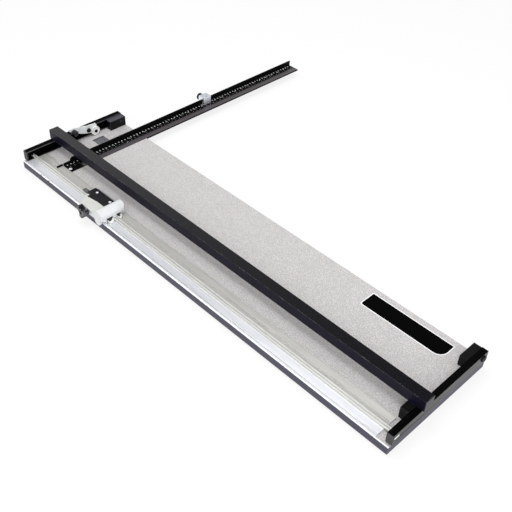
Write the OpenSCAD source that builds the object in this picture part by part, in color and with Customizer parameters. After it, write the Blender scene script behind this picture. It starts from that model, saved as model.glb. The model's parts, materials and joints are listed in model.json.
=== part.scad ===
// Long-bed paper trimmer. A cutting head slides on a guide rail, which is screwed to a
// hinged lift frame of two end channels and a square cross bar. A squaring arm with a
// sliding stop is let into the board.
// The origin is at the bottom of the middle foot. +X runs along the rail to the right,
// +Y away from the person who cuts, +Z up.

/* [Board] */
// Length of the board along the rail
board_w = 1185; // [900:5:1500]
// Depth of the board from front to back
board_d = 300; // [280:1:360]
// Thickness of the chipboard core
core_t = 18.7; // [15:0.1:25]
// Thickness of the laminate on top
lam_t = 0.8; // [0.4:0.1:1.2]
// Thickness of the plastic band round the edges
band_t = 1; // [0.5:0.1:2]
// Radius of a rubber foot
foot_r = 10; // [6:0.5:14]
// Height of a rubber foot
foot_h = 4; // [3:0.5:8]
// Distance from the board's edges to the centres of the outer feet
foot_inset = 25; // [18:1:40]

/* [Labels] */
// Length of the large label
label_w = 209; // [120:1:260]
// Depth of the large label
label_d = 46; // [30:1:60]
// Radius of the large label's front right corner
label_corner_r = 25; // [5:1:28]
// Distance from the board's right edge to the large label
label_from_right = 59.5; // [50:0.5:120]
// Distance from the board's back edge to the large label
label_from_back = 14; // [8:1:40]
// Length of the small label
small_w = 28.5; // [20:0.5:34]
// Depth of the small label
small_d = 35; // [20:1:45]
// Distance from the board's left edge to the small label
small_from_left = 35.5; // [34:0.5:40]
// Distance from the board's back edge to the small label
small_from_back = 79; // [60:1:90]
// Thickness of both labels
label_t = 0.2; // [0.1:0.1:0.3]

/* [Guide rail] */
// Distance from the board's front edge to the rail
rail_front = 3; // [2:0.5:6]
// Depth of the rail from front to back
rail_d = 59; // [57:0.5:61]
// Thickness of the rail's flanges
rail_t = 2.5; // [2:0.1:3.2]
// Width of the ridge that the head rides on
ridge_w = 9; // [7:0.5:9.6]
// Distance from the rail's front edge to the ridge
ridge_from_front = 21.5; // [19:0.5:22]
// Height of the ridge above the flanges
ridge_h = 5.7; // [5.2:0.1:6.2]
// Width of the groove along the top of the ridge
ridge_groove_w = 3; // [2:0.5:4]
// Gap at the right between the rail's flanges and the channel
rail_gap_right = 18; // [10:1:30]

/* [End channels] */
// Height of an end channel, and side of the square cross bar
tube = 25.4; // [22:0.1:30]
// Width of an end channel
channel_w = 14.5; // [13:0.5:18]
// Wall of the end channels
channel_t = 2.5; // [2:0.1:3]
// Length of an end channel
channel_l = 291; // [285:1:330]
// How far a channel stands out past the end of the board
channel_out = 2; // [0:0.5:6]
// Distance from the board's front edge to the channels
channel_front = 7.5; // [5:0.5:8]
// Distance from a channel's front to the middle of its oblong recess
slot_from_front = 11.5; // [11:0.5:20]
// Height of the recess's middle above the channel's underside
slot_up = 13.7; // [11:0.1:15]
// Length of the oblong recess in a channel's web
slot_l = 17; // [12:0.5:20]
// Height of the oblong recess
slot_h = 6.5; // [4:0.5:9]
// Depth of the oblong recess
slot_depth = 1; // [0.6:0.1:1.6]

/* [Cross bar] */
// Distance from the board's front edge to the cross bar
bar_front = 89; // [85:0.5:96]
// Wall of the cross bar
bar_wall = 1.6; // [1.2:0.1:2.5]
// How far the bar stands out past the channels
bar_out = 2.5; // [1:0.5:6]
// Thickness of the caps on the bar and on the channels
cap_t = 1.2; // [0.8:0.1:2]

/* [Hinges] */
// Distance from the channels' back ends to the hinge axis
hinge_from_back = 12.5; // [9:0.5:14]
// Height of the hinge axis above the channels' underside
hinge_up = 13.2; // [11:0.1:14]
// Length of a hinge block
block_l = 49; // [40:1:54]
// Width of the hinge blocks and of the rest block
block_w = 18; // [14:0.5:22]
// Height of a hinge block
block_h = 26; // [24:0.1:30]
// Radius of the hinge bolts' shanks
bolt_r = 3.95; // [3:0.05:4.5]
// Radius of the hinge bolts' round heads
bolt_head_r = 7.3; // [6:0.1:9]
// Thickness of the hinge bolts' heads
bolt_head_t = 3.5; // [2:0.1:5]
// Outer radius of the spacers on the bolts
spacer_r = 6; // [5.2:0.1:7]

/* [Lift lever] */
// How far the lever's pivot lies behind the middle between cross bar and hinge block
lever_past_middle = 8.3; // [0:0.1:12]
// Height of the lever's pivot above the board
lever_z = 20; // [18.5:0.5:20.5]
// Thickness of the lever plate
lever_t = 3.5; // [2:0.1:4]
// Radius of the roller
roller_r = 12.5; // [11:0.5:12.5]
// Width of the roller
roller_w = 5; // [4:0.5:8]
// Distance from the lever's pivot back to the roller's bolt
roller_back = 19; // [17:0.5:21]
// Radius of the lever's grip
grip_r = 7.5; // [5:0.5:9]
// Length of the lever's grip
grip_l = 13; // [12:1:30]

/* [Squaring arm] */
// Distance from the board's left edge to the arm's fence
arm_from_left = 87.5; // [70:0.5:150]
// Width of the arm's flat flange
arm_w = 35; // [28:0.5:45]
// Thickness of the arm's flange
arm_t = 3.5; // [2.5:0.1:5]
// Thickness of the arm's fence
fence_t = 3; // [2:0.1:4]
// Height of the fence above the board
fence_h = 15; // [12:0.5:18]
// Height of the low nose of the fence above the board
nose_h = 6.5; // [4:0.1:6.5]
// Length of the arm from the rail to its back end
arm_l = 822; // [500:1:900]

/* [Stop] */
// Distance from the rail to the front of the stop
stop_at = 463; // [120:1:600]
// Length of the stop along the arm
stop_l = 27; // [20:0.5:36]
// Width of the stop
stop_w = 22; // [20:0.5:30]
// Height of the stop
stop_h = 22.7; // [20:0.1:26]
// Radius of the stop's knob
stop_knob_r = 10; // [7:0.5:14]
// Thickness of the stop's knob
stop_knob_t = 12; // [6:0.5:16]

/* [Cutting head] */
// Distance from the left channel to the head's middle
head_at = 276; // [120:1:400]
// Width of the grip wall at the right end of the head
hump_w = 43; // [40:0.5:48]
// Height of the grip wall above the board
hump_h = 33; // [30:0.5:38]
// Height of the deck above the board
deck_h = 20.5; // [19:0.5:23]
// Length of the head from front to back
head_d = 67; // [66:0.5:68]
// How far the front wall stands out past the board's front edge
head_out = 6; // [5:0.5:10]
// Thickness of the head's front wall
front_wall_t = 5; // [3:0.5:5]
// Width of the foot at the head's front
foot_w = 22; // [14:0.5:26]
// Depth of the foot below the top of the board
foot_drop = 8; // [4:0.5:12]

/* [Blade holder] */
// Length of the black holder plate
holder_w = 74; // [60:1:80]
// Thickness of the holder plate
holder_t = 3; // [2:0.1:3.4]
// Radius of the holder's hinge pin
pin_r = 1.8; // [1.2:0.1:2]
// Thickness of the blade clamp
clamp_t = 3.4; // [2:0.1:4]
// Thickness of the blade
blade_t = 0.6; // [0.3:0.1:0.8]
// Length of the blade
blade_l = 26; // [18:1:40]
// Length of the thumb tab at the holder's left end
tab_l = 27; // [18:1:30]

/* [Head knob] */
// Radius over the knob's lobes
knob_r = 18.5; // [14:0.5:20]
// Thickness of the knob
knob_t = 14; // [8:0.5:18]
// Radius of the knob's threaded stud
stud_r = 3; // [2:0.1:3.5]

/* [Clearances] */
// Gap between parts that move past each other
gap = 0.3; // [0.2:0.05:0.4]
// Radial clearance of a pin that turns in its hole
run = 0.05; // [0.02:0.01:0.1]

/* [Hidden] */
$fn = 64;
eps = 0.5;

// Main planes
top_z = foot_h + core_t + lam_t;
front_y = -board_d / 2;
left_x = -board_w / 2;
nick_places = [82.5, 116.5];
nick_w = 4;
nick_d = 2.5;
nick_h = 3;

// Guide rail
rail_y = front_y + rail_front;
rail_back_y = rail_y + rail_d;
rail_z = top_z + gap;
flange_z = rail_z + rail_t;
ridge_y = rail_y + ridge_from_front;
ridge_top_z = flange_z + ridge_h;

// End channels and cross bar
web_x = board_w / 2 + channel_out;
mouth_x = web_x - channel_w;
channel_y = front_y + channel_front;
channel_back_y = channel_y + channel_l;
channel_top_z = flange_z + tube;
channel_floor_z = flange_z + channel_t;
slot_y = channel_y + slot_from_front;
slot_z = flange_z + slot_up;
plug_in = 1.2;
bar_y = front_y + bar_front;
bar_end_x = web_x + bar_out;
screw_r = 2;
screw_head_r = 3.5;
screw_head_t = 2.2;
bar_screw_dy = 6;
roof_groove = [4, 5, 0.6];
rail_end_x = mouth_x - gap;
tongue_x = web_x - channel_t - 2;
tongue_t = ridge_top_z - channel_floor_z;
tongue_screw_x = (mouth_x + web_x - channel_t) / 2;

// Hinges
hinge_y = channel_back_y - hinge_from_back;
hinge_z = flange_z + hinge_up;
block_gap = 0.5;
block_x = mouth_x - block_gap;
block_y = channel_back_y + 1.5 - block_l;
rest_y = bar_y - 22;
rest_h = channel_top_z - gap - top_z;
block_screw_dy = block_l / 2 - 7;
block_screw_r = 2.5;
block_screw_head_r = 5;
block_screw_sink = 4;
block_screw_grip = 10;

// Lift lever
lever_y = (bar_y + tube + block_y) / 2 + lever_past_middle;
lever_axis_z = top_z + lever_z;
plate_x = -mouth_x + gap;
plate_in_x = plate_x + lever_t;
roller_z = top_z + gap + roller_r;
roller_y = lever_y + roller_back;
roller_x = plate_in_x + gap;
roller_bolt_r = 3;
lever_head_r = 6;
lever_head_t = 3;
grip_back = -45;
grip_up = 12.5;

// Squaring arm
fence_x = left_x + arm_from_left;
arm_y = rail_back_y;
arm_back_y = arm_y + arm_l;
groove_gap = 0.3;
nose_l = 17;
kerf_w = 2.6;
step_at = 31;
line_at = 16;
line_w = 1.5;
line_depth = 0.5;
arm_sink = 2;
arm_screw_r = 4.5;
arm_screw_x = fence_x + 21;
arm_screw_front = arm_y + 7;
arm_screw_step = 181;
arm_screw_margin = 20;
arm_screw_back = min(arm_screw_front + arm_screw_step, -front_y - arm_screw_margin);

// Stop
stop_y = arm_y + stop_at;
stop_x = fence_x + 9;
stop_knob_y = stop_y + stop_l / 2;
stop_knob_z = top_z + stop_knob_r + 1;
stop_stud_r = 3;
collar_r = 4.5;
collar_l = 2;

// Cutting head: x runs from the head's middle
head_x = -mouth_x + head_at;
head_y = front_y - head_out;
head_back_y = head_y + head_d;
hump_left = 21;
hump_right = hump_left + hump_w;
hump_r = 16;
hump_corner = 10;
deck_left = -36;
deck_front_left = -23;
deck_bend_x = 2;
deck_gap = 1.5;
deck_slant = 6;
deck_z = ridge_top_z + 0.6;
deck_top_z = top_z + deck_h;
skirt_z = flange_z + gap;
wall_z = top_z + 4.5;
foot_x = hump_left + 21.5;
skirt_h = 7.4;
glide_l = 36;
glide_top_z = top_z + 15.5;
glide_x = hump_right - glide_l - 3;
pad_t = 1.6;
pad_out = 5;
pad_wall = 1.8;
pad_h = 7;
glide_out = 2;
// Places in Y of the front and of the back glide, their depths at the top, and how far their
// front and back sides come in at the bottom
glide_sizes = [18, 13];
glide_tapers = [[6.8, 5.2], [5.8, 4.2]];
glide_places = [ridge_y - gap - glide_sizes[0], ridge_y + ridge_w + gap];
glide_back_y = glide_places[1] + glide_sizes[1];

// Blade holder: it turns about a pin above the ridge
pin_y = ridge_y + 5.5;
pin_z = deck_z + 3.1;
barrel_r = 3.3;
holder_right = hump_left - gap;
holder_left = holder_right - holder_w;
holder_top_z = pin_z + barrel_r;
clamp_y = rail_back_y + gap - clamp_t;
carrier_z = top_z + nose_h + 0.7;
carrier_y = ridge_y + ridge_w + 2.5;
carrier_left = holder_left + 6;
carrier_right = holder_right - 1;
lug_w = 5;
mark_in = 21;
mark_back = 3.5;
mark_r = 1.6;
barrel_left = holder_left + 13;
lug_x = barrel_left - gap - lug_w;
pin_in = 6;
tab_w = 10.5;
tab_t = 4.5;
tab_y = ridge_y + ridge_w + 0.5;

// Head knob: the angle of its first lobe runs up from +X
knob_x = -1;
knob_z = top_z + 11;
knob_turn = 19;
lobe_r = 5.7;
lobe_count = 3;
boss_r = 6.5;
boss_l = 1.5;
stud_in = 10;
stud_wall = 2.5;

module at_z(z) { translate([0, 0, z]) children(); }

// A round bar along +X, +Y or +Z from a point
module rod_x(x, y, z, r, l) { translate([x, y, z]) rotate([0, 90, 0]) cylinder(r = r, h = l); }
module rod_y(x, y, z, r, l) { translate([x, y, z]) rotate([-90, 0, 0]) cylinder(r = r, h = l); }
module rod_z(x, y, z, r, l) { translate([x, y, z]) cylinder(r = r, h = l); }

// A box given by its low corner and its size
module box(x, y, z, w, d, h) { translate([x, y, z]) cube([w, d, h]); }

// The outline in Y and Z, carried along X from x over a length
module along_x(x, l) {
    translate([x, 0, 0]) rotate([90, 0, 90]) linear_extrude(l) children();
}

// The outline in X and Z, carried along Y from y over a length
module along_y(y, l) {
    translate([0, y + l, 0]) rotate([90, 0, 0]) linear_extrude(l) children();
}

// Middles of the blocks that are screwed to the board
block_places = [
    [-block_x + block_w / 2, block_y + block_l / 2],
    [block_x - block_w / 2, block_y + block_l / 2],
    [block_x - block_w / 2, rest_y + block_l / 2]];

module at_block_screws() {
    for (place = block_places, dy = [-block_screw_dy, block_screw_dy])
        translate([place[0], place[1] + dy, 0]) children();
}

// Two small notches in the board's upper front edge
module front_nicks() {
    for (x = nick_places)
        box(left_x + x - nick_w / 2, front_y - 1, top_z - nick_h, nick_w, 1 + nick_d, nick_h + eps);
}

// The space in the board that takes the arm: a wide groove, and a slot for the nose
module arm_groove() {
    depth = arm_t + eps;
    box(fence_x - fence_t - groove_gap, arm_y - groove_gap, top_z - arm_t,
        arm_w + fence_t + 2 * groove_gap, board_d, depth);
    box(fence_x - fence_t - groove_gap, arm_y - nose_l - groove_gap, top_z - arm_t,
        fence_t + 2 * groove_gap, nose_l + eps, depth);
}

module board_core() {
    color("gray") difference() {
        box(left_x + band_t, front_y + band_t, foot_h,
            board_w - 2 * band_t, board_d - 2 * band_t, core_t);
        arm_groove();
        front_nicks();
        at_block_screws() {
            rod_z(0, 0, 0, block_screw_r + 0.3, top_z + eps);
            rod_z(0, 0, 0, block_screw_head_r + 0.3, foot_h + block_screw_sink);
        }
    }
}

module edge_band() {
    color("darkslategray") difference() {
        box(left_x, front_y, foot_h, board_w, board_d, core_t);
        box(left_x + band_t, front_y + band_t, 0,
            board_w - 2 * band_t, board_d - 2 * band_t, 2 * top_z);
        arm_groove();
        front_nicks();
    }
}

module laminate() {
    color("lightgray") difference() {
        box(left_x, front_y, top_z - lam_t, board_w, board_d, lam_t);
        arm_groove();
        front_nicks();
        at_block_screws() rod_z(0, 0, 0, block_screw_r + 0.3, top_z + eps);
    }
}

module feet() {
    far_x = board_w / 2 - foot_inset;
    far_y = board_d / 2 - foot_inset;
    color("black") {
        cylinder(r1 = foot_r - 1, r2 = foot_r, h = foot_h);
        for (x = [-far_x, 0, far_x], y = [-far_y, far_y])
            translate([x, y, 0]) cylinder(r1 = foot_r - 1, r2 = foot_r, h = foot_h);
    }
}

// A plate with one large rounded corner and one small chamfer at its front
module large_label() {
    right = board_w / 2 - label_from_right;
    front = board_d / 2 - label_from_back - label_d;
    chamfer = 5;
    color("black") difference() {
        box(right - label_w, front, top_z, label_w, label_d, label_t);
        difference() {
            box(right - label_corner_r, front - 1, top_z - 1,
                label_corner_r + 1, label_corner_r + 1, label_t + 2);
            rod_z(right - label_corner_r, front + label_corner_r, top_z - 1,
                label_corner_r, label_t + 2);
        }
        translate([right - label_w, front, top_z - 1]) rotate([0, 0, 45])
            cube([chamfer, chamfer, 2 * (label_t + 2)], center = true);
    }
}

module small_label() {
    color("gray") box(left_x + small_from_left, -front_y - small_from_back - small_d,
        top_z, small_w, small_d, label_t);
}

// The fence seen from the side: a nose in the rail's notch, a kerf for the blade,
// a low stretch, and a rounded step up to the full height
module fence_outline() {
    root = top_z - arm_t;
    low = top_z + nose_h;
    high = top_z + fence_h;
    step_y = arm_y + step_at;
    step_r = high - low;
    difference() {
        union() {
            polygon([[arm_y - nose_l, root], [arm_back_y, root], [arm_back_y, high],
                [step_y, high], [step_y, low],
                [arm_y - nose_l, low]]);
            translate([step_y, low]) circle(step_r);
        }
        translate([arm_y, top_z]) square([kerf_w, fence_h]);
    }
}

module squaring_arm() {
    color("black") difference() {
        union() {
            box(fence_x - eps, arm_y, top_z - arm_t, arm_w + eps, arm_l, arm_t);
            along_x(fence_x - fence_t, fence_t) fence_outline();
        }
        box(fence_x + line_at, arm_y - 1, top_z - line_depth, line_w, arm_l + 2, 1);
        for (y = [arm_screw_front, arm_screw_back])
            rod_z(arm_screw_x, y, 0, screw_r, top_z + eps);
        for (y = [arm_screw_front, arm_screw_back])
            translate([arm_screw_x, y, top_z - arm_sink])
                cylinder(r1 = screw_r, r2 = arm_screw_r + 0.6, h = arm_sink + 0.4);
    }
}

module arm_screws() {
    color("silver") for (y = [arm_screw_front, arm_screw_back]) {
        translate([arm_screw_x, y, top_z - arm_sink])
            cylinder(r1 = screw_r, r2 = arm_screw_r, h = arm_sink);
        rod_z(arm_screw_x, y, top_z - arm_t, screw_r - run, arm_t - arm_sink + 0.1);
    }
}

module hinge_block(side) {
    x = side < 0 ? -block_x : block_x - block_w;
    color("black") difference() {
        box(x, block_y, top_z, block_w, block_l, block_h);
        rod_x(x - 1, hinge_y, hinge_z, bolt_r + run, block_w + 2);
        at_block_screws() rod_z(0, 0, 0, block_screw_r, top_z + block_screw_grip);
    }
}

module left_hinge_block() { hinge_block(-1); }
module right_hinge_block() { hinge_block(1); }

module rest_block() {
    color("black") difference() {
        box(block_x - block_w, rest_y, top_z, block_w, block_l, rest_h);
        at_block_screws() rod_z(0, 0, 0, block_screw_r, top_z + block_screw_grip);
    }
}

module block_screws() {
    head_z = foot_h + block_screw_sink;
    color("silver") at_block_screws() {
        rod_z(0, 0, head_z - 3, block_screw_head_r, 3);
        rod_z(0, 0, head_z - eps, block_screw_r, top_z + block_screw_grip - head_z + eps);
    }
}

module hinge_bolts() {
    in_x = block_x - block_w;
    color("black") for (side = [-1, 1]) mirror([side < 0 ? 1 : 0, 0, 0]) {
        rod_x(in_x, hinge_y, hinge_z, bolt_r, web_x + gap - in_x);
        rod_x(web_x + gap, hinge_y, hinge_z, bolt_head_r, bolt_head_t);
    }
}

module hinge_spacers() {
    l = web_x - channel_t - gap - block_x;
    color("silver") for (side = [-1, 1]) mirror([side < 0 ? 1 : 0, 0, 0]) difference() {
        rod_x(block_x, hinge_y, hinge_z, spacer_r, l);
        rod_x(block_x - 1, hinge_y, hinge_z, bolt_r + run, l + 2);
    }
}

// An oblong along X in the place of the recess, smaller by an inset all round
module oblong(x, inset, l) {
    straight = slot_l - slot_h;
    height = slot_h - 2 * inset;
    for (end = [-1, 1]) rod_x(x, slot_y + end * straight / 2, slot_z, height / 2, l);
    box(x, slot_y - straight / 2, slot_z - height / 2, l, straight, height);
}

// The right-hand end channel, open towards the middle of the board
module channel() {
    inside_w = channel_w - channel_t;
    difference() {
        box(mouth_x, channel_y, flange_z, channel_w, channel_l, tube);
        box(mouth_x - 1, channel_y - 1, channel_floor_z,
            inside_w + 1, channel_l + 2, tube - 2 * channel_t);
        box(mouth_x + roof_groove[0], channel_y - 1, channel_top_z - roof_groove[2],
            roof_groove[1], channel_l + 2, 1);
        rod_x(mouth_x, hinge_y, hinge_z, bolt_r + run, channel_w + 1);
        oblong(web_x - slot_depth, 0, slot_depth + 1);
        rod_z(tongue_screw_x, ridge_y + ridge_w / 2, flange_z - 1, screw_r, channel_t + 2);
        for (dy = [-bar_screw_dy, bar_screw_dy])
            rod_z(tongue_screw_x, bar_y + tube / 2 + dy, channel_top_z - channel_t - 1,
                screw_r, channel_t + 2);
    }
}

module right_channel() { color("black") channel(); }

module left_channel() {
    color("black") difference() {
        mirror([1, 0, 0]) channel();
        rod_x(-web_x - 1, lever_y, lever_axis_z, bolt_r, channel_t + 2);
    }
}

module channel_caps() {
    fit = 0.2;
    plug = 3;
    color("dimgray") for (side = [0, 1], back = [0, 1]) mirror([side, 0, 0]) {
        box(mouth_x, back ? channel_back_y : channel_y - cap_t, flange_z,
            channel_w, cap_t, tube);
        box(mouth_x + 1, back ? channel_back_y - plug : channel_y - eps,
            channel_floor_z + fit, channel_w - channel_t - 1 - fit, plug + eps,
            tube - 2 * channel_t - 2 * fit);
    }
}

// Pale plugs in the channels' oblong recesses
module slot_plugs() {
    color("white") for (side = [0, 1]) mirror([side, 0, 0])
        oblong(web_x - slot_depth, plug_in, slot_depth - 0.1);
}

module cross_bar() {
    color("black") difference() {
        box(-bar_end_x, bar_y, channel_top_z, 2 * bar_end_x, tube, tube);
        box(-bar_end_x - 1, bar_y + bar_wall, channel_top_z + bar_wall,
            2 * bar_end_x + 2, tube - 2 * bar_wall, tube - 2 * bar_wall);
        for (side = [-1, 1], dy = [-bar_screw_dy, bar_screw_dy])
            rod_z(side * tongue_screw_x, bar_y + tube / 2 + dy, channel_top_z - 1,
                screw_r, bar_wall + 2);
    }
}

module bar_caps() {
    fit = 0.2;
    plug = 8;
    side_in = bar_wall + fit;
    color("dimgray") for (side = [0, 1]) mirror([side, 0, 0]) {
        box(bar_end_x, bar_y, channel_top_z, cap_t, tube, tube);
        box(bar_end_x - plug, bar_y + side_in, channel_top_z + side_in,
            plug + eps, tube - 2 * side_in, tube - 2 * side_in);
    }
}

module bar_screws() {
    under_z = channel_top_z - channel_t;
    color("silver") for (side = [-1, 1], dy = [-bar_screw_dy, bar_screw_dy])
        translate([side * tongue_screw_x, bar_y + tube / 2 + dy, 0]) {
            rod_z(0, 0, under_z - screw_head_t, screw_head_r, screw_head_t);
            rod_z(0, 0, under_z - eps, screw_r, channel_t + bar_wall + 1 + eps);
        }
}

// The rail's section in Y and Z: a flat sole with a hollow ridge
module rail_section() {
    wall = 2;
    groove_w = 1.4;
    groove_depth = 0.8;
    groove_places = [1.2, 39, 42, rail_d - 2.6];
    difference() {
        union() {
            translate([rail_y, rail_z]) square([rail_d, rail_t]);
            translate([ridge_y, rail_z]) square([ridge_w, rail_t + ridge_h]);
        }
        translate([ridge_y + wall, rail_z - 1])
            square([ridge_w - 2 * wall, 1 + channel_floor_z - rail_z]);
        ridge_groove();
        for (y = groove_places)
            translate([rail_y + y, flange_z - groove_depth]) square([groove_w, 1]);
    }
}

module ridge_groove() {
    translate([ridge_y + (ridge_w - ridge_groove_w) / 2, ridge_top_z - 1])
        square([ridge_groove_w, 2]);
}

module guide_rail() {
    notch_w = 15.5;
    color("whitesmoke") difference() {
        union() {
            along_x(-rail_end_x, rail_end_x + mouth_x - rail_gap_right) rail_section();
            along_x(-tongue_x, 2 * tongue_x) difference() {
                translate([ridge_y, channel_floor_z]) square([ridge_w, tongue_t]);
                ridge_groove();
            }
        }
        box(fence_x - notch_w + 0.5, arm_y - nose_l - 1, rail_z - 1,
            notch_w, nose_l + 2, rail_t + 2);
        for (side = [-1, 1])
            rod_z(side * tongue_screw_x, ridge_y + ridge_w / 2, rail_z, screw_r, 20);
    }
}

module rail_screws() {
    color("silver") for (side = [-1, 1]) translate([side * tongue_screw_x, ridge_y + ridge_w / 2, 0]) {
        rod_z(0, 0, ridge_top_z, screw_head_r, screw_head_t);
        rod_z(0, 0, flange_z, screw_r, ridge_top_z - flange_z + eps);
    }
}

module lever_bolt() {
    head_x0 = plate_in_x + gap;
    color("black") {
        rod_x(-web_x, lever_y, lever_axis_z, bolt_r, web_x + head_x0 + eps);
        rod_x(head_x0, lever_y, lever_axis_z, lever_head_r, lever_head_t);
    }
}

module lever_spacer() {
    l = channel_w - channel_t;
    color("silver") difference() {
        rod_x(-mouth_x - l, lever_y, lever_axis_z, 5.2, l);
        rod_x(-mouth_x - l - 1, lever_y, lever_axis_z, bolt_r, l + 2);
    }
}

// The lever seen from the right, in Y and Z from its pivot
module lever_outline() {
    roller_dz = roller_z - lever_axis_z;
    polygon([[-58, 18.5], [-56.5, 22.5], [-44, 23.2], [-30.5, 19.8], [-17, 16.8],
        [-3.4, 13.5], [12, 12.2], [23.5, 11.5], [26, 8], [26, roller_dz],
        [roller_back, roller_dz - 5], [6, -10.5], [-7.7, -7.1], [-22.4, -1.8], [-36, 5]]);
}

module lift_lever() {
    color("gainsboro") difference() {
        union() {
            along_x(plate_x, lever_t) translate([lever_y, lever_axis_z]) lever_outline();
            rod_x(plate_x, lever_y + grip_back, lever_axis_z + grip_up, grip_r - 1, lever_t);
            rod_x(plate_x, roller_y, roller_z, 7, lever_t);
        }
        rod_x(plate_x - 1, lever_y, lever_axis_z, bolt_r + run, lever_t + 2);
        rod_x(plate_x - 1, roller_y, roller_z, roller_bolt_r, lever_t + 2);
        rod_x(plate_x - 1, lever_y + grip_back, lever_axis_z + grip_up, 2.5, lever_t + 2);
    }
}

module lever_grip() {
    y = lever_y + grip_back;
    z = lever_axis_z + grip_up;
    color("black") {
        rod_x(plate_in_x, y, z, grip_r, grip_l);
        rod_x(plate_x, y, z, 2.5, lever_t + eps);
    }
}

module roller_bolt() {
    color("black") {
        rod_x(plate_x, roller_y, roller_z, roller_bolt_r, roller_w + lever_t + 3 * gap);
        rod_x(roller_x + roller_w + gap, roller_y, roller_z, 4.5, lever_head_t);
    }
}

module roller() {
    color("white") difference() {
        rod_x(roller_x, roller_y, roller_z, roller_r, roller_w);
        rod_x(roller_x - 1, roller_y, roller_z, roller_bolt_r + run, roller_w + 2);
    }
}

// The grip wall seen from the front, in X and Z: a round back over a straight skirt
module hump_outline() {
    cx = hump_right - 1 - hump_r;
    cz = top_z + hump_h - hump_r;
    lean = 40;
    tangent_x = cx - hump_r * sin(lean);
    tangent_z = cz + hump_r * cos(lean);
    shoulder_z = tangent_z - (tangent_x - hump_left) * tan(lean);
    intersection() {
        translate([cx, cz]) circle(hump_r);
        translate([hump_left, skirt_z]) square([hump_w, hump_h]);
    }
    polygon([[hump_left, skirt_z], [hump_left, shoulder_z], [tangent_x, tangent_z],
        [cx, cz], [cx + hump_r, cz], [hump_right, skirt_z]]);
}

// The grip wall seen from above, with round corners at the right
module hump_plan() {
    round_x = hump_right - hump_corner;
    low_y = head_y + hump_corner;
    high_y = head_back_y - hump_corner;
    polygon([[hump_left, head_y], [round_x, head_y], [hump_right, low_y],
        [hump_right, high_y], [round_x, head_back_y],
        [hump_left, head_back_y]]);
    for (y = [low_y, high_y]) translate([round_x, y]) circle(hump_corner);
}

// The deck seen from above, in X and Y from the head's middle
module deck_outline() {
    back_y = pin_y - barrel_r - deck_gap;
    slant_y = back_y - deck_slant;
    polygon([[deck_front_left, head_y], [hump_left + 6, head_y], [hump_left + 6, back_y],
        [deck_bend_x, back_y], [lug_x + lug_w, slant_y], [lug_x + lug_w, pin_y],
        [lug_x, pin_y], [lug_x, slant_y - 1], [deck_left + 2, slant_y - 4]]);
}

// The head's front wall with its foot, in X and Z from the head's middle
module front_outline() {
    foot_bottom = top_z - foot_drop + foot_w / 2;
    translate([deck_front_left, wall_z])
        square([hump_left + 6 - deck_front_left, deck_top_z - wall_z]);
    translate([foot_x - foot_w / 2, foot_bottom])
        square([foot_w, deck_top_z - foot_bottom]);
    translate([foot_x, foot_bottom]) circle(foot_w / 2);
}

module head_casting() {
    color("whitesmoke") translate([head_x, 0, 0]) difference() {
        union() {
            at_z(deck_z) linear_extrude(holder_top_z - deck_z) deck_outline();
            at_z(deck_z) linear_extrude(deck_top_z - deck_z) intersection() {
                deck_outline();
                translate([deck_left, head_y - 1]) square([2 * hump_right, head_d]);
            }
            difference() {
                intersection() {
                    along_y(head_y, head_d) hump_outline();
                    linear_extrude(top_z + 2 * hump_h) hump_plan();
                }
                box(0, head_y - 1, 0, 2 * hump_right, head_out + 1 + rail_front, wall_z);
                box(foot_x + foot_w / 2, head_y - 1, 0, hump_w, head_out + 6, skirt_z + skirt_h);
                box(hump_right - hump_corner, glide_back_y - eps, 0, hump_w, head_d, glide_top_z);
            }
            along_y(head_y, front_wall_t) front_outline();
            rod_x(lug_x, pin_y, pin_z, barrel_r, lug_w);
            rod_y(knob_x, head_y - boss_l, knob_z, boss_r, boss_l + 1);
            rod_y(knob_x, head_y + 1, knob_z, stud_r + stud_wall, stud_in - 1);
        }
        box(0, glide_places[0], 0, 2 * hump_right, glide_back_y - glide_places[0], deck_z);
        for (i = [0, 1])
            box(glide_x, glide_places[i], 0, hump_w, glide_sizes[i], glide_top_z);
        rod_x(lug_x - 1, pin_y, pin_z, pin_r, hump_left + pin_in - lug_x + 1);
        rod_y(knob_x, head_y - boss_l - 1, knob_z, stud_r + run, stud_in + boss_l + 1.5);
    }
}

// A glide in Y and Z, narrower towards the rail
module glide_outline(i) {
    front = glide_places[i];
    back = front + glide_sizes[i];
    low = skirt_z + pad_t;
    polygon([[front, glide_top_z], [front + glide_tapers[i][0], low],
        [back - glide_tapers[i][1], low], [back, glide_top_z]]);
}

// A pad in Y and Z before its glide is cut out: a wall wider than the glide on both sides
module pad_outline(i) {
    front = glide_places[i];
    back = front + glide_sizes[i];
    share = (glide_top_z - skirt_z - pad_h) / (glide_top_z - skirt_z - pad_t);
    polygon([[front + glide_tapers[i][0] - pad_wall, skirt_z],
        [back - glide_tapers[i][1] + pad_wall, skirt_z],
        [back - share * glide_tapers[i][1] + pad_wall, skirt_z + pad_h],
        [front + share * glide_tapers[i][0] - pad_wall, skirt_z + pad_h]]);
}

// Black blocks that guide the head along both sides of the ridge
module glides() {
    color("black") translate([head_x, 0, 0]) for (i = [0, 1])
        along_x(glide_x, glide_l + glide_out) glide_outline(i);
}

// White pads, U-shaped round the glides, which run on the rail's flanges
module glide_pads() {
    color("white") translate([head_x, 0, 0]) for (i = [0, 1])
        along_x(glide_x, hump_right + pad_out - glide_x) difference() {
            pad_outline(i);
            glide_outline(i);
        }
}

module hinge_pin() {
    color("silver") rod_x(head_x + lug_x - 1, pin_y, pin_z, pin_r, hump_left + pin_in - lug_x + 1);
}

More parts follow.
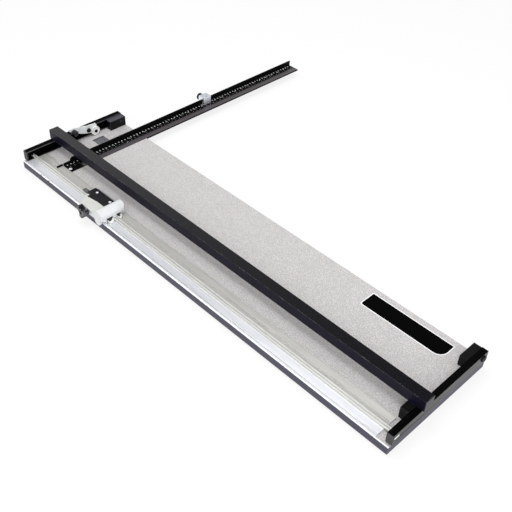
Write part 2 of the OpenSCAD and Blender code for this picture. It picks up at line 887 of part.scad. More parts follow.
// The plate with its hinge barrel, over the carrier that takes the blade clamp
module blade_holder() {
    color("black") translate([head_x, 0, 0]) difference() {
        union() {
            rod_x(barrel_left, pin_y, pin_z, barrel_r, holder_right - barrel_left);
            box(barrel_left, pin_y, holder_top_z - holder_t,
                holder_right - barrel_left, clamp_y - pin_y, holder_t);
            box(holder_left, pin_y + barrel_r + 0.4, holder_top_z - holder_t,
                holder_w, clamp_y - pin_y - barrel_r - 0.4, holder_t);
            box(carrier_left, carrier_y, carrier_z, carrier_right - carrier_left,
                clamp_y - carrier_y, holder_top_z - carrier_z - 0.1);
        }
        rod_x(barrel_left - 1, pin_y, pin_z, pin_r + run, holder_w + 2);
        at_holder_screws() rod_z(0, 0, carrier_z + 2, screw_r, 30);
        rod_z(holder_left + mark_in, pin_y + mark_back, holder_top_z - 2, mark_r, 3);
    }
}

module at_holder_screws() {
    for (x = [holder_left + 19, holder_right - 4])
        translate([x, clamp_y - 9.5, 0]) children();
}

module holder_screws() {
    color("white") translate([head_x, 0, 0]) at_holder_screws() {
        rod_z(0, 0, holder_top_z, screw_head_r - 0.3, 1.6);
        rod_z(0, 0, carrier_z + 2, screw_r, holder_top_z - carrier_z - 2 + eps);
    }
}

module blade_clamp() {
    color("silver") translate([head_x, 0, 0])
        box(carrier_left, clamp_y, carrier_z, carrier_right - carrier_left, clamp_t,
            holder_top_z - carrier_z - 0.6);
}

// A flat blade on the clamp's back face, with a slanted edge down to its point
module blade() {
    mid = (carrier_left + carrier_right) / 2;
    tip_z = top_z + gap;
    color("silver") translate([head_x, 0, 0]) along_y(clamp_y + clamp_t, blade_t)
        polygon([[mid - blade_l / 2, carrier_z + 5], [mid - blade_l / 2, carrier_z + 1],
            [mid + blade_l / 2 - 2, tip_z], [mid + blade_l / 2, tip_z],
            [mid + blade_l / 2, carrier_z + 5]]);
}

module thumb_tab() {
    color("gray") translate([head_x, 0, 0])
        box(carrier_left - tab_l, tab_y, carrier_z + 0.3, tab_l, tab_w, tab_t);
}

// A three-lobed knob that lies along Y
module head_knob() {
    hub_r = 8;
    recess_r = 4.5;
    recess_depth = 3;
    out_y = head_y - boss_l - gap - knob_t;
    color("black") difference() {
        translate([head_x + knob_x, head_y - boss_l - gap, knob_z]) rotate([90, -knob_turn, 0])
            union() {
                cylinder(r = hub_r, h = knob_t);
                for (i = [0:lobe_count - 1]) rotate(i * 360 / lobe_count) {
                    translate([knob_r - lobe_r, 0, 0]) cylinder(r = lobe_r, h = knob_t);
                    translate([0, -lobe_r, 0]) cube([knob_r - lobe_r, 2 * lobe_r, knob_t]);
                }
            }
        rod_y(head_x + knob_x, out_y - 1, knob_z, recess_r, recess_depth + 1);
        rod_y(head_x + knob_x, out_y - 1, knob_z, stud_r, knob_t + 2);
    }
}

module head_stud() {
    out_y = head_y - boss_l - gap - knob_t + 6;
    color("silver") rod_y(head_x + knob_x, out_y, knob_z, stud_r, head_y + stud_in - out_y);
}

module stop_block() {
    slot = fence_t + 2 * gap;
    hole_r = 2.5;
    hole_depth = 4;
    color("silver") difference() {
        box(stop_x - stop_w, stop_y, top_z + gap, stop_w, stop_l, stop_h);
        box(fence_x - fence_t - gap, stop_y - 1, 0, slot, stop_l + 2, top_z + fence_h + gap);
        rod_x(stop_x - stop_w - 1, stop_knob_y, stop_knob_z, stop_stud_r + run, stop_w / 2);
        rod_z(fence_x + 5, stop_knob_y, top_z + stop_h - hole_depth, hole_r, hole_depth + 1);
    }
}

module stop_knob() {
    knob_in = stop_x - stop_w - gap - collar_l;
    color("black") difference() {
        union() {
            rod_x(knob_in - stop_knob_t, stop_knob_y, stop_knob_z, stop_knob_r, stop_knob_t);
            rod_x(knob_in - eps, stop_knob_y, stop_knob_z, collar_r, collar_l + eps);
        }
        rod_x(knob_in - stop_knob_t + 3, stop_knob_y, stop_knob_z, stop_stud_r, stop_knob_t + 9);
    }
}

module stop_stud() {
    out_x = stop_x - stop_w - gap - collar_l - stop_knob_t + 3;
    tip_x = fence_x - fence_t - gap - 0.1;
    color("silver") rod_x(out_x, stop_knob_y, stop_knob_z, stop_stud_r, tip_x - out_x);
}

board_core();
edge_band();
laminate();
feet();
large_label();
small_label();
squaring_arm();
arm_screws();
left_hinge_block();
right_hinge_block();
rest_block();
block_screws();
hinge_bolts();
hinge_spacers();
left_channel();
right_channel();
channel_caps();
slot_plugs();
cross_bar();
bar_caps();
bar_screws();
guide_rail();
rail_screws();
lever_bolt();
lever_spacer();
lift_lever();
lever_grip();
roller_bolt();
roller();
head_casting();
glides();
glide_pads();
hinge_pin();
blade_holder();
blade_clamp();
blade();
holder_screws();
thumb_tab();
head_knob();
head_stud();
stop_block();
stop_knob();
stop_stud();
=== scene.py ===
"""A long-bed paper trimmer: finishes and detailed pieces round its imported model.

The file is laid out as an add-on. Every piece has an operator, the sizes and colours that a user
would change are properties, and main() runs the operators in order.
"""

import json
import math

import bmesh
import bpy
import numpy as np
from mathutils import Matrix, Vector

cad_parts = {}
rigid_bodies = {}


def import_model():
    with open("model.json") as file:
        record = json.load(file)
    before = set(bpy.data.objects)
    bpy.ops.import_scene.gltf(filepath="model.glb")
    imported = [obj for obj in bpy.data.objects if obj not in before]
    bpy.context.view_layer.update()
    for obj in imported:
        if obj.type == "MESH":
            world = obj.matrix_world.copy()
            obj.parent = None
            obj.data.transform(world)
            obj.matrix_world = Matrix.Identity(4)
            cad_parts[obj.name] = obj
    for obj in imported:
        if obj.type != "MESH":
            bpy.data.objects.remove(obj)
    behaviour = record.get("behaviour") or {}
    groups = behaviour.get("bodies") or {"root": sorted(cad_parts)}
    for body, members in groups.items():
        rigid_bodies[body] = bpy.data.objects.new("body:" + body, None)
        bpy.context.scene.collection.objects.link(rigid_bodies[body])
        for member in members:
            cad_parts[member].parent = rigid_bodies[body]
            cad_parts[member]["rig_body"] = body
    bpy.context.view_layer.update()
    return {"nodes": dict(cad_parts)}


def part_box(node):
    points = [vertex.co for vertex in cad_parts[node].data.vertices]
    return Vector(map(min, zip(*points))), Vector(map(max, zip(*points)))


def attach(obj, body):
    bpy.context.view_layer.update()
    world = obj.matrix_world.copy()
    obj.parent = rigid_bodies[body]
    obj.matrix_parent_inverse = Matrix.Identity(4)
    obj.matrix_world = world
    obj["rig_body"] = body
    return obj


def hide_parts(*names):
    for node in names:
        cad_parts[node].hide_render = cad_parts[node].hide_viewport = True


bl_info = {
    "name": "Paper trimmer",
    "version": (1, 0, 0),
    "blender": (4, 5, 0),
    "location": "3D View > Sidebar > Trimmer",
    "description": "Dresses the packed model of a long-bed paper trimmer",
    "category": "Object",
}

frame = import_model()
MM = 0.001

# The camera stands where the photograph was taken from
CAMERA_PLACE = (0.99116, -0.89837, 1.16500)
CAMERA_TURN = (48.9143, -1.5620, 46.0033)
CAMERA_LENS = 54.97

# The studio is white at eye height, and its ceiling is dark: the sines of the heights where the
# ceiling starts and where it is full, and its level
CEILING_START = 0.47
CEILING_END = 0.76
CEILING = 0.05
WORLD_LEVEL = 0.66
FLOOR_HALF = 6.0

# Lamps: name, place, side in metres and power in watts
LAMPS = [
    ("front", (1.6, -2.2, 2.0), 2.0, 34),
    ("side", (3.2, 0.8, 1.0), 1.6, 22),
    ("overhead", (-0.25, -0.2, 2.7), 1.4, 32),
]

# A face looks along an axis when this much of its normal does. Places are compared with slack.
FACING = 0.7
SLACK = 0.2 * MM

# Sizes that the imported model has: board notches, rail, head, grip, roller and knobs
NOTCH_DEPTH = 4 * MM
NOTCH_HEIGHT = 3.5 * MM
RAIL_T = 2.5 * MM
RIDGE = (21.5 * MM, 30.5 * MM)
HUMP_HEIGHT = 5 * MM
GRIP_SPIGOT = 3.5 * MM
ROLLER_BORE = 3.05 * MM
COLLAR_L = 2 * MM
KNOB_R = 18.5 * MM
KNOB_TURN = math.radians(19)
KNOB_LOBES = 3
KNOB_HUB_R = 8 * MM
KNOB_LOBE_R = 5.7 * MM
KNOB_BORE = 3 * MM
KNOB_RECESS_R = 4.5 * MM
KNOB_RECESS = 3 * MM

# The stop's collar is thinner than the model's, so that its knob shows past it as in the photo
COLLAR_R = 2.9 * MM

# The painted highlight on the rail's flange ends at the ridge and starts this far ahead of it
RAIL_STRIP = 2.6 * MM

# Labels: the large one's cut and round corners, and the dark strip's share of the small one
LABEL_CHAMFER = 3.5 * MM
LABEL_CORNER = 25 * MM
LABEL_STRIP = 0.22

# The arm: its fence, then the scale's ground and the strip of painted sheen, from the fence
# outwards, and how far behind the rail the strip starts
FENCE_T = 3 * MM
SCALE = (0.2 * MM, 15.4 * MM)
STRIP = (17.8 * MM, 33.6 * MM)
STRIP_START = 40 * MM

# Rows of ticks: step, start and end across the arm, and share of the tick's width
INCH = 25.4 * MM
SCALE_ROWS = [
    (10 * MM, 0.2 * MM, 4.6 * MM, 1.0),
    (INCH / 2, 12.2 * MM, 14.2 * MM, 0.3),
]
NUMBERS_X = 5.8 * MM

# Heights over the board's top: the scale's ground, its ticks and the middle of its numbers
GROUND_Z = (-0.02 * MM, 0.03 * MM)
TICKS_Z = (0.01 * MM, 0.06 * MM)
NUMBERS_Z = 0.04 * MM


def linear(code):
    """Turns an sRGB hex such as "#8a8c90" to the linear colour that a shader takes."""
    shares = [int(code[i : i + 2], 16) / 255 for i in (1, 3, 5)]
    return tuple(c / 12.92 if c <= 0.04045 else ((c + 0.055) / 1.055) ** 2.4 for c in shares)


def colour(name, description, default):
    """A colour property with an sRGB hex default."""
    return bpy.props.FloatVectorProperty(
        name=name, description=description, default=linear(default), subtype="COLOR", min=0, max=1
    )


def length(name, description, millimetres):
    """A length property with a default in millimetres."""
    return bpy.props.FloatProperty(
        name=name, description=description, default=millimetres * MM, min=0, unit="LENGTH"
    )


class TrimmerColours(bpy.types.PropertyGroup):
    """Colours of the trimmer's finishes"""

    laminate: colour("Laminate", "Ground of the speckled board top", "#d3d0cf")
    speckle: colour("Speckle", "Darker specks in the board top", "#b0adae")
    band: colour("Edge band", "Plastic band round the board", "#383749")
    chipboard: colour("Chipboard", "Core of the board", "#a98a62")
    bar: colour("Cross bar", "Powder coat on the cross bar", "#0a0910")
    # Painted shade: the bar's front face gets its own bluer copy of the coat with little sheen
    bar_front: colour("Bar front", "Painted shade on the cross bar's front face", "#131120")
    channel: colour("Channels", "Black anodising on the end channels", "#060607")
    # Painted highlight: the lip colour lightens the channels' upper lip over the mouth
    lip: colour("Channel lip", "Painted highlight on the upper lip of the channels' mouths", "#3c3c40")
    cap: colour("Caps", "Plastic caps on the bar and the channels", "#2b2b30")
    # Painted light and shade: the one anodised rail gets a lighter tone on its ridge top and
    # darker ones on its rear flange, ridge wall and grooves
    rail: colour("Rail", "Clear anodised aluminium, front flange", "#eceef4")
    ridge: colour("Ridge", "Clear anodised aluminium, ridge", "#f2f2ef")
    rear: colour("Rear flange", "Clear anodised aluminium, rear flange", "#dad9d4")
    # Painted highlight: a lighter tone on the laminate's strip in front of the rail and on the
    # flange ahead of the ridge
    unrubbed: colour("Strip highlights", "Painted highlight on strips of the laminate and rail", "#f7f7f9")
    arm: colour("Arm", "Black anodising on the squaring arm", "#070708")
    ink: colour("Ink", "Printed scale", "#dcdcda")
    border: colour("Border", "White border of the large label", "#fbfbfb")
    # Painted sheen: the strip's lighter colour paints the light on the arm's flange
    strip: colour("Strip", "Painted sheen strip on the squaring arm", "#3a3439")
    block: colour("Blocks", "Moulded hinge blocks", "#08080a")
    # Painted light: the left hinge block's top is painted grey, lighter than its black sides
    rubbed: colour("Lit top", "Top of the left hinge block, rubbed grey", "#3c3b45")
    knob: colour("Knobs", "Glossy moulded knobs and the lever's grip", "#1c1c20")
    lever: colour("Lever", "Enamel on the lift lever", "#dcdfdf")
    nylon: colour("Nylon", "Roller and pads", "#f1f1f0")
    casting: colour("Casting", "Enamel on the cutting head", "#dadcde")
    deck: colour("Deck", "Enamel on the head's deck, darker as painted shade", "#cccdc8")
    # Painted shade: the deck's top faces get a darker, warmer copy of the casting's enamel
    holder: colour("Holder", "Black coat on the blade holder", "#131116")
    tab: colour("Tab", "Thumb tab", "#5c5d60")
    steel: colour("Steel", "Plated screws, pins and studs", "#d9dadc")
    stop: colour("Stop", "Bead-blasted aluminium of the stop", "#c9ccd2")
    label: colour("Large label", "Ground of the bare large label", "#010101")
    foil: colour("Small label", "Ground of the bare small label", "#7c7d83")
    rubber: colour("Rubber", "Feet", "#1b1b1b")


class TrimmerSizes(bpy.types.PropertyGroup):
    """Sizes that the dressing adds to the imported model"""

    metal_round: length("Metal edges", "Rounding of the channels, bar and rail", 0.5)
    sheet_round: length("Sheet edges", "Rounding of the laminate and the edge band", 0.25)
    moulded_round: length("Moulded edges", "Rounding of the moulded blocks' edges", 1.0)
    cast_round: length("Cast edges", "Rounding of the casting's edges", 1.2)
    tick_w: length("Tick width", "Width of a tick", 2.3)
    label_border: length("Label border", "Width of the large label's border", 2.0)
    figure_h: length("Figures", "Height of the scale's numbers", 5.6)


def choices(context):
    """The scene's colours and sizes, as a user has set them."""
    return context.scene.trimmer_colours, context.scene.trimmer_sizes


def corners_of(node):
    """Lowest and highest corner of a CAD node, as arrays."""
    low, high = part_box(node)
    return np.array(low), np.array(high)


def solids_of(node):
    """Boxes of the separate solids in a CAD node, sorted along X and then Y.

    Equal points get one number, and the smallest number spreads over each triangle until
    nothing changes, so that every solid ends with one number.
    """
    mesh = frame["nodes"][node].data
    co = np.empty(len(mesh.vertices) * 3)
    mesh.vertices.foreach_get("co", co)
    mesh.calc_loop_triangles()
    triangles = np.empty(len(mesh.loop_triangles) * 3, int)
    mesh.loop_triangles.foreach_get("vertices", triangles)
    points, number = np.unique(np.round(co.reshape(-1, 3), 6), axis=0, return_inverse=True)
    triangles = number.reshape(-1)[triangles].reshape(-1, 3)
    label = np.arange(len(points))
    while True:
        reach = label.copy()
        smallest = label[triangles].min(1)
        for column in range(3):
            np.minimum.at(reach, triangles[:, column], smallest)
        if np.array_equal(reach, label):
            break
        label = reach
    boxes = [(points[label == n].min(0), points[label == n].max(0)) for n in np.unique(label)]
    return sorted(boxes, key=lambda b: (round(b[0][0], 4), round(b[0][1], 4)))


def add(tree, kind, inputs=None, **settings):
    """Adds one shader node with its settings, and feeds its sockets values or other sockets."""
    made = tree.nodes.new(kind)
    for name, value in settings.items():
        setattr(made, name, value)
    for socket, value in (inputs or {}).items():
        if isinstance(value, bpy.types.NodeSocket):
            tree.links.new(value, made.inputs[socket])
        else:
            made.inputs[socket].default_value = value
    return made


def finish(name, tone, roughness, sockets=None):
    """A new material: returns it with its tree and its main shader."""
    made = bpy.data.materials.new(name)
    made.use_nodes = True
    shader = made.node_tree.nodes["Principled BSDF"]
    values = {"Base Color": (*tone, 1), "Roughness": roughness, **(sockets or {})}
    for socket, value in values.items():
        shader.inputs[socket].default_value = value
    return made, made.node_tree, shader


def noise(tree, size, stretch=(1, 1, 1), detail=2):
    """Noise on Object coordinates with features of a size in metres, drawn out along an axis."""
    place = add(tree, "ShaderNodeTexCoord").outputs["Object"]
    scale = [1 / (size * s) for s in stretch]
    place = add(tree, "ShaderNodeMapping", {"Vector": place, "Scale": scale}).outputs[0]
    inputs = {"Vector": place, "Scale": 1, "Detail": detail}
    return add(tree, "ShaderNodeTexNoise", inputs).outputs["Fac"]


def spread(tree, value, low, high, start=0.35, end=0.65):
    """Maps noise between start and end to a range from low to high."""
    inputs = {"Value": value, "From Min": start, "From Max": end, "To Min": low, "To Max": high}
    return add(tree, "ShaderNodeMapRange", inputs).outputs["Result"]


def shade(tone, share):
    """A linear colour made darker or lighter by a share."""
    return tuple(min(1.0, c * share) for c in tone)


def blended(shader, factor, first, second):
    """Feeds a shader's colour from two colours mixed by a factor. The first may be a socket."""
    tree = shader.id_data
    first = first if isinstance(first, bpy.types.NodeSocket) else (*first, 1)
    inputs = {"Factor": factor, 6: first, 7: (*second, 1)}
    mixed = add(tree, "ShaderNodeMix", inputs, data_type="RGBA")
    tree.links.new(mixed.outputs[2], shader.inputs["Base Color"])


def work_in(shader, pattern, tones=None, gloss=None, relief=0):
    """Works a pattern into a shader's look.

    The colour runs between two shares of the shader's own, the roughness between two levels,
    and the relief is a depth in metres.
    """
    tree = shader.id_data
    if tones is not None:
        own = shader.inputs["Base Color"].default_value[:3]
        blended(shader, spread(tree, pattern, 0, 1), *[shade(own, share) for share in tones])
    if gloss is not None:
        tree.links.new(spread(tree, pattern, *gloss), shader.inputs["Roughness"])
    if relief:
        inputs = {"Height": pattern, "Distance": relief, "Strength": 1}
        raised = add(tree, "ShaderNodeBump", inputs)
        tree.links.new(raised.outputs["Normal"], shader.inputs["Normal"])


def lighter_strip(shader, tone, limit, ahead):
    """Turns a shader's colour to a tone where Object Y is below a limit, or above if not ahead."""
    tree = shader.id_data
    place = add(tree, "ShaderNodeTexCoord").outputs["Object"]
    depth = add(tree, "ShaderNodeSeparateXYZ", {"Vector": place}).outputs["Y"]
    test = "LESS_THAN" if ahead else "GREATER_THAN"
    inside = add(tree, "ShaderNodeMath", {0: depth, 1: limit}, operation=test).outputs[0]
    blended(shader, inside, shader.inputs["Base Color"].links[0].from_socket, tone)


def speckled_laminate(colours):
    """High-pressure laminate: melamine over printed paper, satin, with fine grey specks.

    The real specks are about 0.8 mm across. They are drawn 2.6 mm across so that they show. The
    strip in front of the rail is painted lighter: a painted highlight.
    """
    made, tree, shader = finish("speckled laminate", colours.laminate, 0.42)
    specks = spread(tree, noise(tree, 2.6 * MM), 0, 1, 0.43, 0.6)
    clouds = spread(tree, noise(tree, 9 * MM), 0, 0.3)
    both = add(tree, "ShaderNodeMath", {0: specks, 1: clouds}, operation="ADD", use_clamp=True)
    blended(shader, both.outputs[0], colours.laminate, colours.speckle)
    # Painted highlight: the strip in front of the rail turns to a lighter tone
    lighter_strip(shader, colours.unrubbed, corners_of("guide_rail")[0][1], True)
    work_in(shader, noise(tree, 0.8 * MM), relief=0.03 * MM)
    return made


def edge_band_plastic(colours):
    """ABS edge band, extruded and ironed on: dull, with faint lines along it."""
    made, tree, shader = finish("edge band ABS", colours.band, 0.5)
    work_in(shader, noise(tree, 1.2 * MM, (30, 30, 1)), (0.85, 1.15), (0.42, 0.58))
    return made


def chipboard_core(colours):
    """Chipboard: pressed wood chips, 2 to 6 mm long, matt and uneven."""
    made, tree, shader = finish("chipboard", colours.chipboard, 0.85)
    work_in(shader, noise(tree, 3 * MM, (2.2, 1, 1), 4), (0.6, 1.25), relief=0.2 * MM)
    return made


def powder_coat(name, coat, roughness, grain, sheen=0.5):
    """Powder coat on metal: a baked polymer skin with an orange peel, its grain in millimetres."""
    made, tree, shader = finish(name, coat, roughness, {"Specular IOR Level": sheen})
    peel = noise(tree, grain * MM, detail=1)
    work_in(shader, peel, gloss=(roughness - 0.06, roughness + 0.06), relief=0.03 * MM)
    work_in(shader, noise(tree, 25 * MM), (0.88, 1.12))
    return made


def black_anodised(name, coat, roughness, sheen):
    """Black anodised aluminium: a hard dyed oxide over extrusion lines that run along Y."""
    made, tree, shader = finish(name, coat, roughness, {"Specular IOR Level": sheen})
    lines = noise(tree, 0.9 * MM, (1, 60, 1))
    work_in(shader, lines, (0.8, 1.3), (roughness - 0.08, roughness + 0.08), 0.02 * MM)
    return made


def worn_edge(name, coat, lift=0.05):
    """The same coat made lighter and smoother for rounded edges: a painted highlight, broken by
    noise.
    """
    made, tree, shader = finish(name, coat, 0.35)
    wear = spread(tree, noise(tree, 12 * MM), 0, 1)
    blended(shader, wear, shade(coat, 1.2), [c + lift for c in coat])
    return made


def clear_anodised(name, metal, roughness, strip=None):
    """Clear anodised aluminium: a milky oxide over bright metal with lines along X.

    The lines scatter light across the bar, so the gloss is anisotropic with its tangent round
    X. Behind a strip's limit the colour turns to a lighter tone: a painted highlight.
    """
    made, tree, shader = finish(name, metal, roughness, {"Metallic": 0.5, "Anisotropic": 0.6})
    round_axis = add(tree, "ShaderNodeTangent", direction_type="RADIAL", axis="X")
    tree.links.new(round_axis.outputs[0], shader.inputs["Tangent"])
    lines = noise(tree, 1.0 * MM, (80, 1, 1))
    work_in(shader, lines, (0.94, 1.03), (roughness - 0.06, roughness + 0.06), 0.015 * MM)
    if strip is not None:
        lighter_strip(shader, *strip, False)
    return made


def bead_blasted(name, metal):
    """Bead-blasted aluminium: bright metal with a fine even frost, here 0.8 mm wide."""
    made, tree, shader = finish(name, metal, 0.42, {"Metallic": 1.0})
    work_in(shader, noise(tree, 0.8 * MM, detail=1), gloss=(0.36, 0.5), relief=0.02 * MM)
    return made


def plated_steel(name, metal, roughness=0.22, metallic=1.0):
    """Zinc-plated steel: bright, slightly cloudy, and whiter where the zinc is matt."""
    made, tree, shader = finish(name, metal, roughness, {"Metallic": metallic})
    work_in(shader, noise(tree, 3 * MM), gloss=(roughness - 0.06, roughness + 0.08))
    return made


def moulded(name, resin, roughness, grain=1.0, relief=0.02, sheen=0.5):
    """Injection-moulded plastic: an even colour with the mould's fine texture."""
    made, tree, shader = finish(name, resin, roughness, {"Specular IOR Level": sheen})
    texture = noise(tree, grain * MM, detail=1)
    work_in(shader, texture, gloss=(roughness - 0.05, roughness + 0.07), relief=relief * MM)
    work_in(shader, noise(tree, 14 * MM), (0.9, 1.08))
    return made


def cast_enamel(name, coat):
    """White enamel on a die casting: glossy, with a soft orange peel 4 mm wide."""
    made, tree, shader = finish(name, coat, 0.34, {"Coat Weight": 0.25, "Coat Roughness": 0.12})
    work_in(shader, noise(tree, 4 * MM, detail=1), relief=0.05 * MM)
    work_in(shader, noise(tree, 18 * MM), (0.95, 1.02))
    return made


def printed_ink(name, ink):
    """Screen-printed ink: flat, slightly broken where it has come away."""
    made, tree, shader = finish(name, ink, 0.6)
    wear = spread(tree, noise(tree, 2.5 * MM), 0, 1, 0.3, 0.5)
    blended(shader, wear, shade(ink, 0.6), ink)
    return made


def label_film(name, ground, roughness, metallic=0.0, sheen=0.5):
    """Printed polyester film: smooth, with a slight unevenness from the board under it."""
    gloss = {"Metallic": metallic, "Specular IOR Level": sheen}
    made, tree, shader = finish(name, ground, roughness, gloss)
    work_in(shader, noise(tree, 5 * MM), (0.85, 1.15))
    work_in(shader, noise(tree, 6 * MM), relief=0.03 * MM)
    return made


def put(name, data):
    """A new object in the scene, at the origin."""
    made = bpy.data.objects.new(name, data)
    bpy.context.scene.collection.objects.link(made)
    return made


def put_mesh(name, points, faces):
    """A new object with a mesh of points and of faces with any number of corners."""
    mesh = bpy.data.meshes.new(name)
    mesh.from_pydata(points, [], faces)
    return put(name, mesh)


def surface(name, grids, sharp=40):
    """One mesh of closed surfaces, each a grid of points whose rows wrap round.

    A quad joins the points of neighbouring rows and columns. Points that meet at poles are
    merged, what collapses there is dropped, and the faces are turned outwards.
    """
    points, faces, count = [], [], 0
    for grid in grids:
        rows, columns = grid.shape[:2]
        r, c = np.meshgrid(np.arange(rows - 1), np.arange(columns), indexing="ij")
        row, above, beside = r * columns, (r + 1) * columns, (c + 1) % columns
        quads = np.stack([row + c, above + c, above + beside, row + beside], -1)
        points.append(grid.reshape(-1, 3))
        faces.append(count + quads.reshape(-1, 4))
        count += len(points[-1])
    made = put_mesh(name, np.concatenate(points).tolist(), np.concatenate(faces).tolist())
    work = bmesh.new()
    work.from_mesh(made.data)
    bmesh.ops.remove_doubles(work, verts=work.verts, dist=0.5e-6)
    bmesh.ops.dissolve_degenerate(work, edges=work.edges, dist=0.2e-6)
    bmesh.ops.recalc_face_normals(work, faces=work.faces)
    work.to_mesh(made.data)
    work.free()
    smooth(made.data, sharp)
    return made


def smooth(mesh, sharp):
    """Smooth faces with edges kept sharp past an angle in degrees."""
    mesh.polygons.foreach_set("use_smooth", np.ones(len(mesh.polygons), bool))
    mesh.set_sharp_from_angle(angle=math.radians(sharp))


def turned(profile, axis, centre, steps, radius_at=None, push=None):
    """A profile of (radius, distance along the axis) carried round the axis.

    radius_at(angle, radius) and push(angle, radius, along) may change the radius and the
    distance along the axis as functions of the angle, for lobes, flutes and recesses.
    """
    across, other, along = np.roll(np.eye(3), -axis - 1, 0)
    angle = np.linspace(0, 2 * math.pi, steps, endpoint=False)
    radius, height = np.repeat(profile.T[:, :, None], steps, 2)
    if push is not None:
        height = push(angle, radius, height)
    if radius_at is not None:
        radius = radius_at(angle, radius)
    out = np.cos(angle)[:, None] * across + np.sin(angle)[:, None] * other
    return np.asarray(centre) + radius[..., None] * out + height[..., None] * along


def rounded(corners, radii, steps=5, closed=False):
    """An outline with its corners replaced by arcs that start a length before each corner.

    Each arc is a quadratic curve with weights 1, cos(turn / 2) and 1, which is a true circle
    where the two lengths beside the corner are equal.
    """
    corners = np.asarray(corners, float)
    sides = [np.roll(corners, shift, 0) - corners for shift in (1, -1)]
    lengths = [np.maximum(np.linalg.norm(side, axis=1, keepdims=True), 1e-9) for side in sides]
    before, after = sides[0] / lengths[0], sides[1] / lengths[1]
    radii = np.broadcast_to(radii, len(corners))[:, None]
    radii = np.minimum(radii, 0.49 * np.minimum(*lengths))
    if not closed:
        radii[[0, -1]] = 0
    start, end = corners + before * radii, corners + after * radii
    straight = -(before * after).sum(1)
    weight = np.sqrt(np.clip((1 + straight) / 2, 0.05, 1))[:, None, None]
    t = np.linspace(0, 1, steps)[None, :, None]
    first, middle, last = (1 - t) ** 2, 2 * t * (1 - t) * weight, t**2
    curve = first * start[:, None] + middle * corners[:, None] + last * end[:, None]
    curve = curve / (first + middle + last)
    points = curve.reshape(-1, 2)
    keep = np.linalg.norm(points - np.roll(points, 1, 0), axis=1) > 1e-8
    keep[0] = True
    return points[keep]


def settle(piece, material, node, stands_for=True):
    """Gives a piece a finish and a CAD node's body. It may stand for the node too."""
    piece.data.materials.append(material)
    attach(piece, frame["nodes"][node]["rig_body"])
    if stands_for:
        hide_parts(node)
    return piece


def dressed(node, width, *materials, segments=2):
    """A merged copy of a CAD node with its flat faces joined and its edges rounded.

    A second material, if there is one, goes to the rounded edges.
    """
    mesh = frame["nodes"][node].data.copy()
    made = put(node + "_piece", mesh)
    work = bmesh.new()
    work.from_mesh(mesh)
    bmesh.ops.remove_doubles(work, verts=work.verts, dist=1e-6)
    flat = math.radians(0.3)
    bmesh.ops.dissolve_limit(work, angle_limit=flat, verts=work.verts, edges=work.edges)
    work.to_mesh(mesh)
    work.free()
    mesh.materials.clear()
    settle(made, materials[0], node)
    for material in materials[1:]:
        mesh.materials.append(material)
    smooth(mesh, 30)
    edge = made.modifiers.new("edges", "BEVEL")
    edge.width, edge.segments, edge.limit_method = width, segments, "ANGLE"
    edge.angle_limit, edge.use_clamp_overlap = math.radians(30), True
    edge.harden_normals = True
    edge.material = len(materials) - 1
    return made


def give(piece, material, test):
    """Gives a material to the faces that a test picks from rows of their middles and normals."""
    faces = piece.data.polygons
    middles, normals = np.empty((2, 3 * len(faces)))
    slots = np.empty(len(faces), int)
    faces.foreach_get("center", middles)
    faces.foreach_get("normal", normals)
    faces.foreach_get("material_index", slots)
    piece.data.materials.append(material)
    picked = test(middles.reshape(-1, 3).T, normals.reshape(-1, 3).T)
    faces.foreach_set("material_index", np.where(picked, len(piece.data.materials) - 1, slots))


def paint(node, material):
    """Gives a CAD node that stays as it is a finish of its own."""
    mesh = frame["nodes"][node].data
    mesh.materials.clear()
    mesh.materials.append(material)


def lamp(name, place, size, power):
    """A square soft lamp that faces the origin."""
    data = bpy.data.lights.new(name, "AREA")
    data.shape, data.size, data.energy = "SQUARE", size, power
    made = put(name, data)
    made.location = place
    made.rotation_euler = Vector(place).to_track_quat("Z", "Y").to_euler()


def seen_directly(tree):
    """1 for camera, glossy and transmission rays, and 0 for the rays that light the object."""
    rays = add(tree, "ShaderNodeLightPath").outputs
    either = rays["Is Camera Ray"]
    for kind in ("Is Glossy Ray", "Is Transmission Ray"):
        inputs = {0: either, 1: rays[kind]}
        either = add(tree, "ShaderNodeMath", inputs, operation="MAXIMUM").outputs[0]
    return either


def slabs(lows, highs):
    """Points and quads of many closed boxes, from arrays of their lowest and highest corners."""
    corner = np.array([[x, y, z] for x in (0, 1) for y in (0, 1) for z in (0, 1)])
    points = lows[:, None] + corner * (highs - lows)[:, None]
    sides = [(0, 1, 3, 2), (4, 6, 7, 5), (0, 4, 5, 1), (2, 3, 7, 6), (0, 2, 6, 4), (1, 5, 7, 3)]
    faces = np.array(sides)[None] + 8 * np.arange(len(lows))[:, None, None]
    return points.reshape(-1, 3), faces.reshape(-1, 4)


def plate(name, corners, radii, steps, bottom, top):
    """A flat plate with rounded corners, between two heights. Its ends shrink to their middles."""
    outline = rounded(corners, radii, steps, True)
    rings = [np.insert(outline, 2, height, 1) for height in (bottom, top)]
    ends = [np.broadcast_to(ring.mean(0), ring.shape) for ring in rings]
    return surface(name, [np.stack([ends[0], *rings, ends[1]])], 20)


def rectangle(left, near, right, far):
    """Corners of a rectangle in X and Y."""
    return [(left, near), (right, near), (right, far), (left, far)]


def flat_words(name, words, size, depth):
    """One mesh of plain numbers that read along -Y, from pairs of a word and its place."""
    work = bmesh.new()
    for word, place in words:
        curve = bpy.data.curves.new(name, "FONT")
        curve.body, curve.size, curve.extrude = word, size, depth
        curve.align_x, curve.align_y = "CENTER", "CENTER"
        text = bpy.data.objects.new(name, curve)
        mesh = bpy.data.meshes.new_from_object(text)
        mesh.transform(Matrix.Translation(place) @ Matrix.Rotation(-math.pi / 2, 4, "Z"))
        work.from_mesh(mesh)
        bpy.data.objects.remove(text)
    mesh = bpy.data.meshes.new(name)
    work.to_mesh(mesh)
    work.free()
    return put(name, mesh)


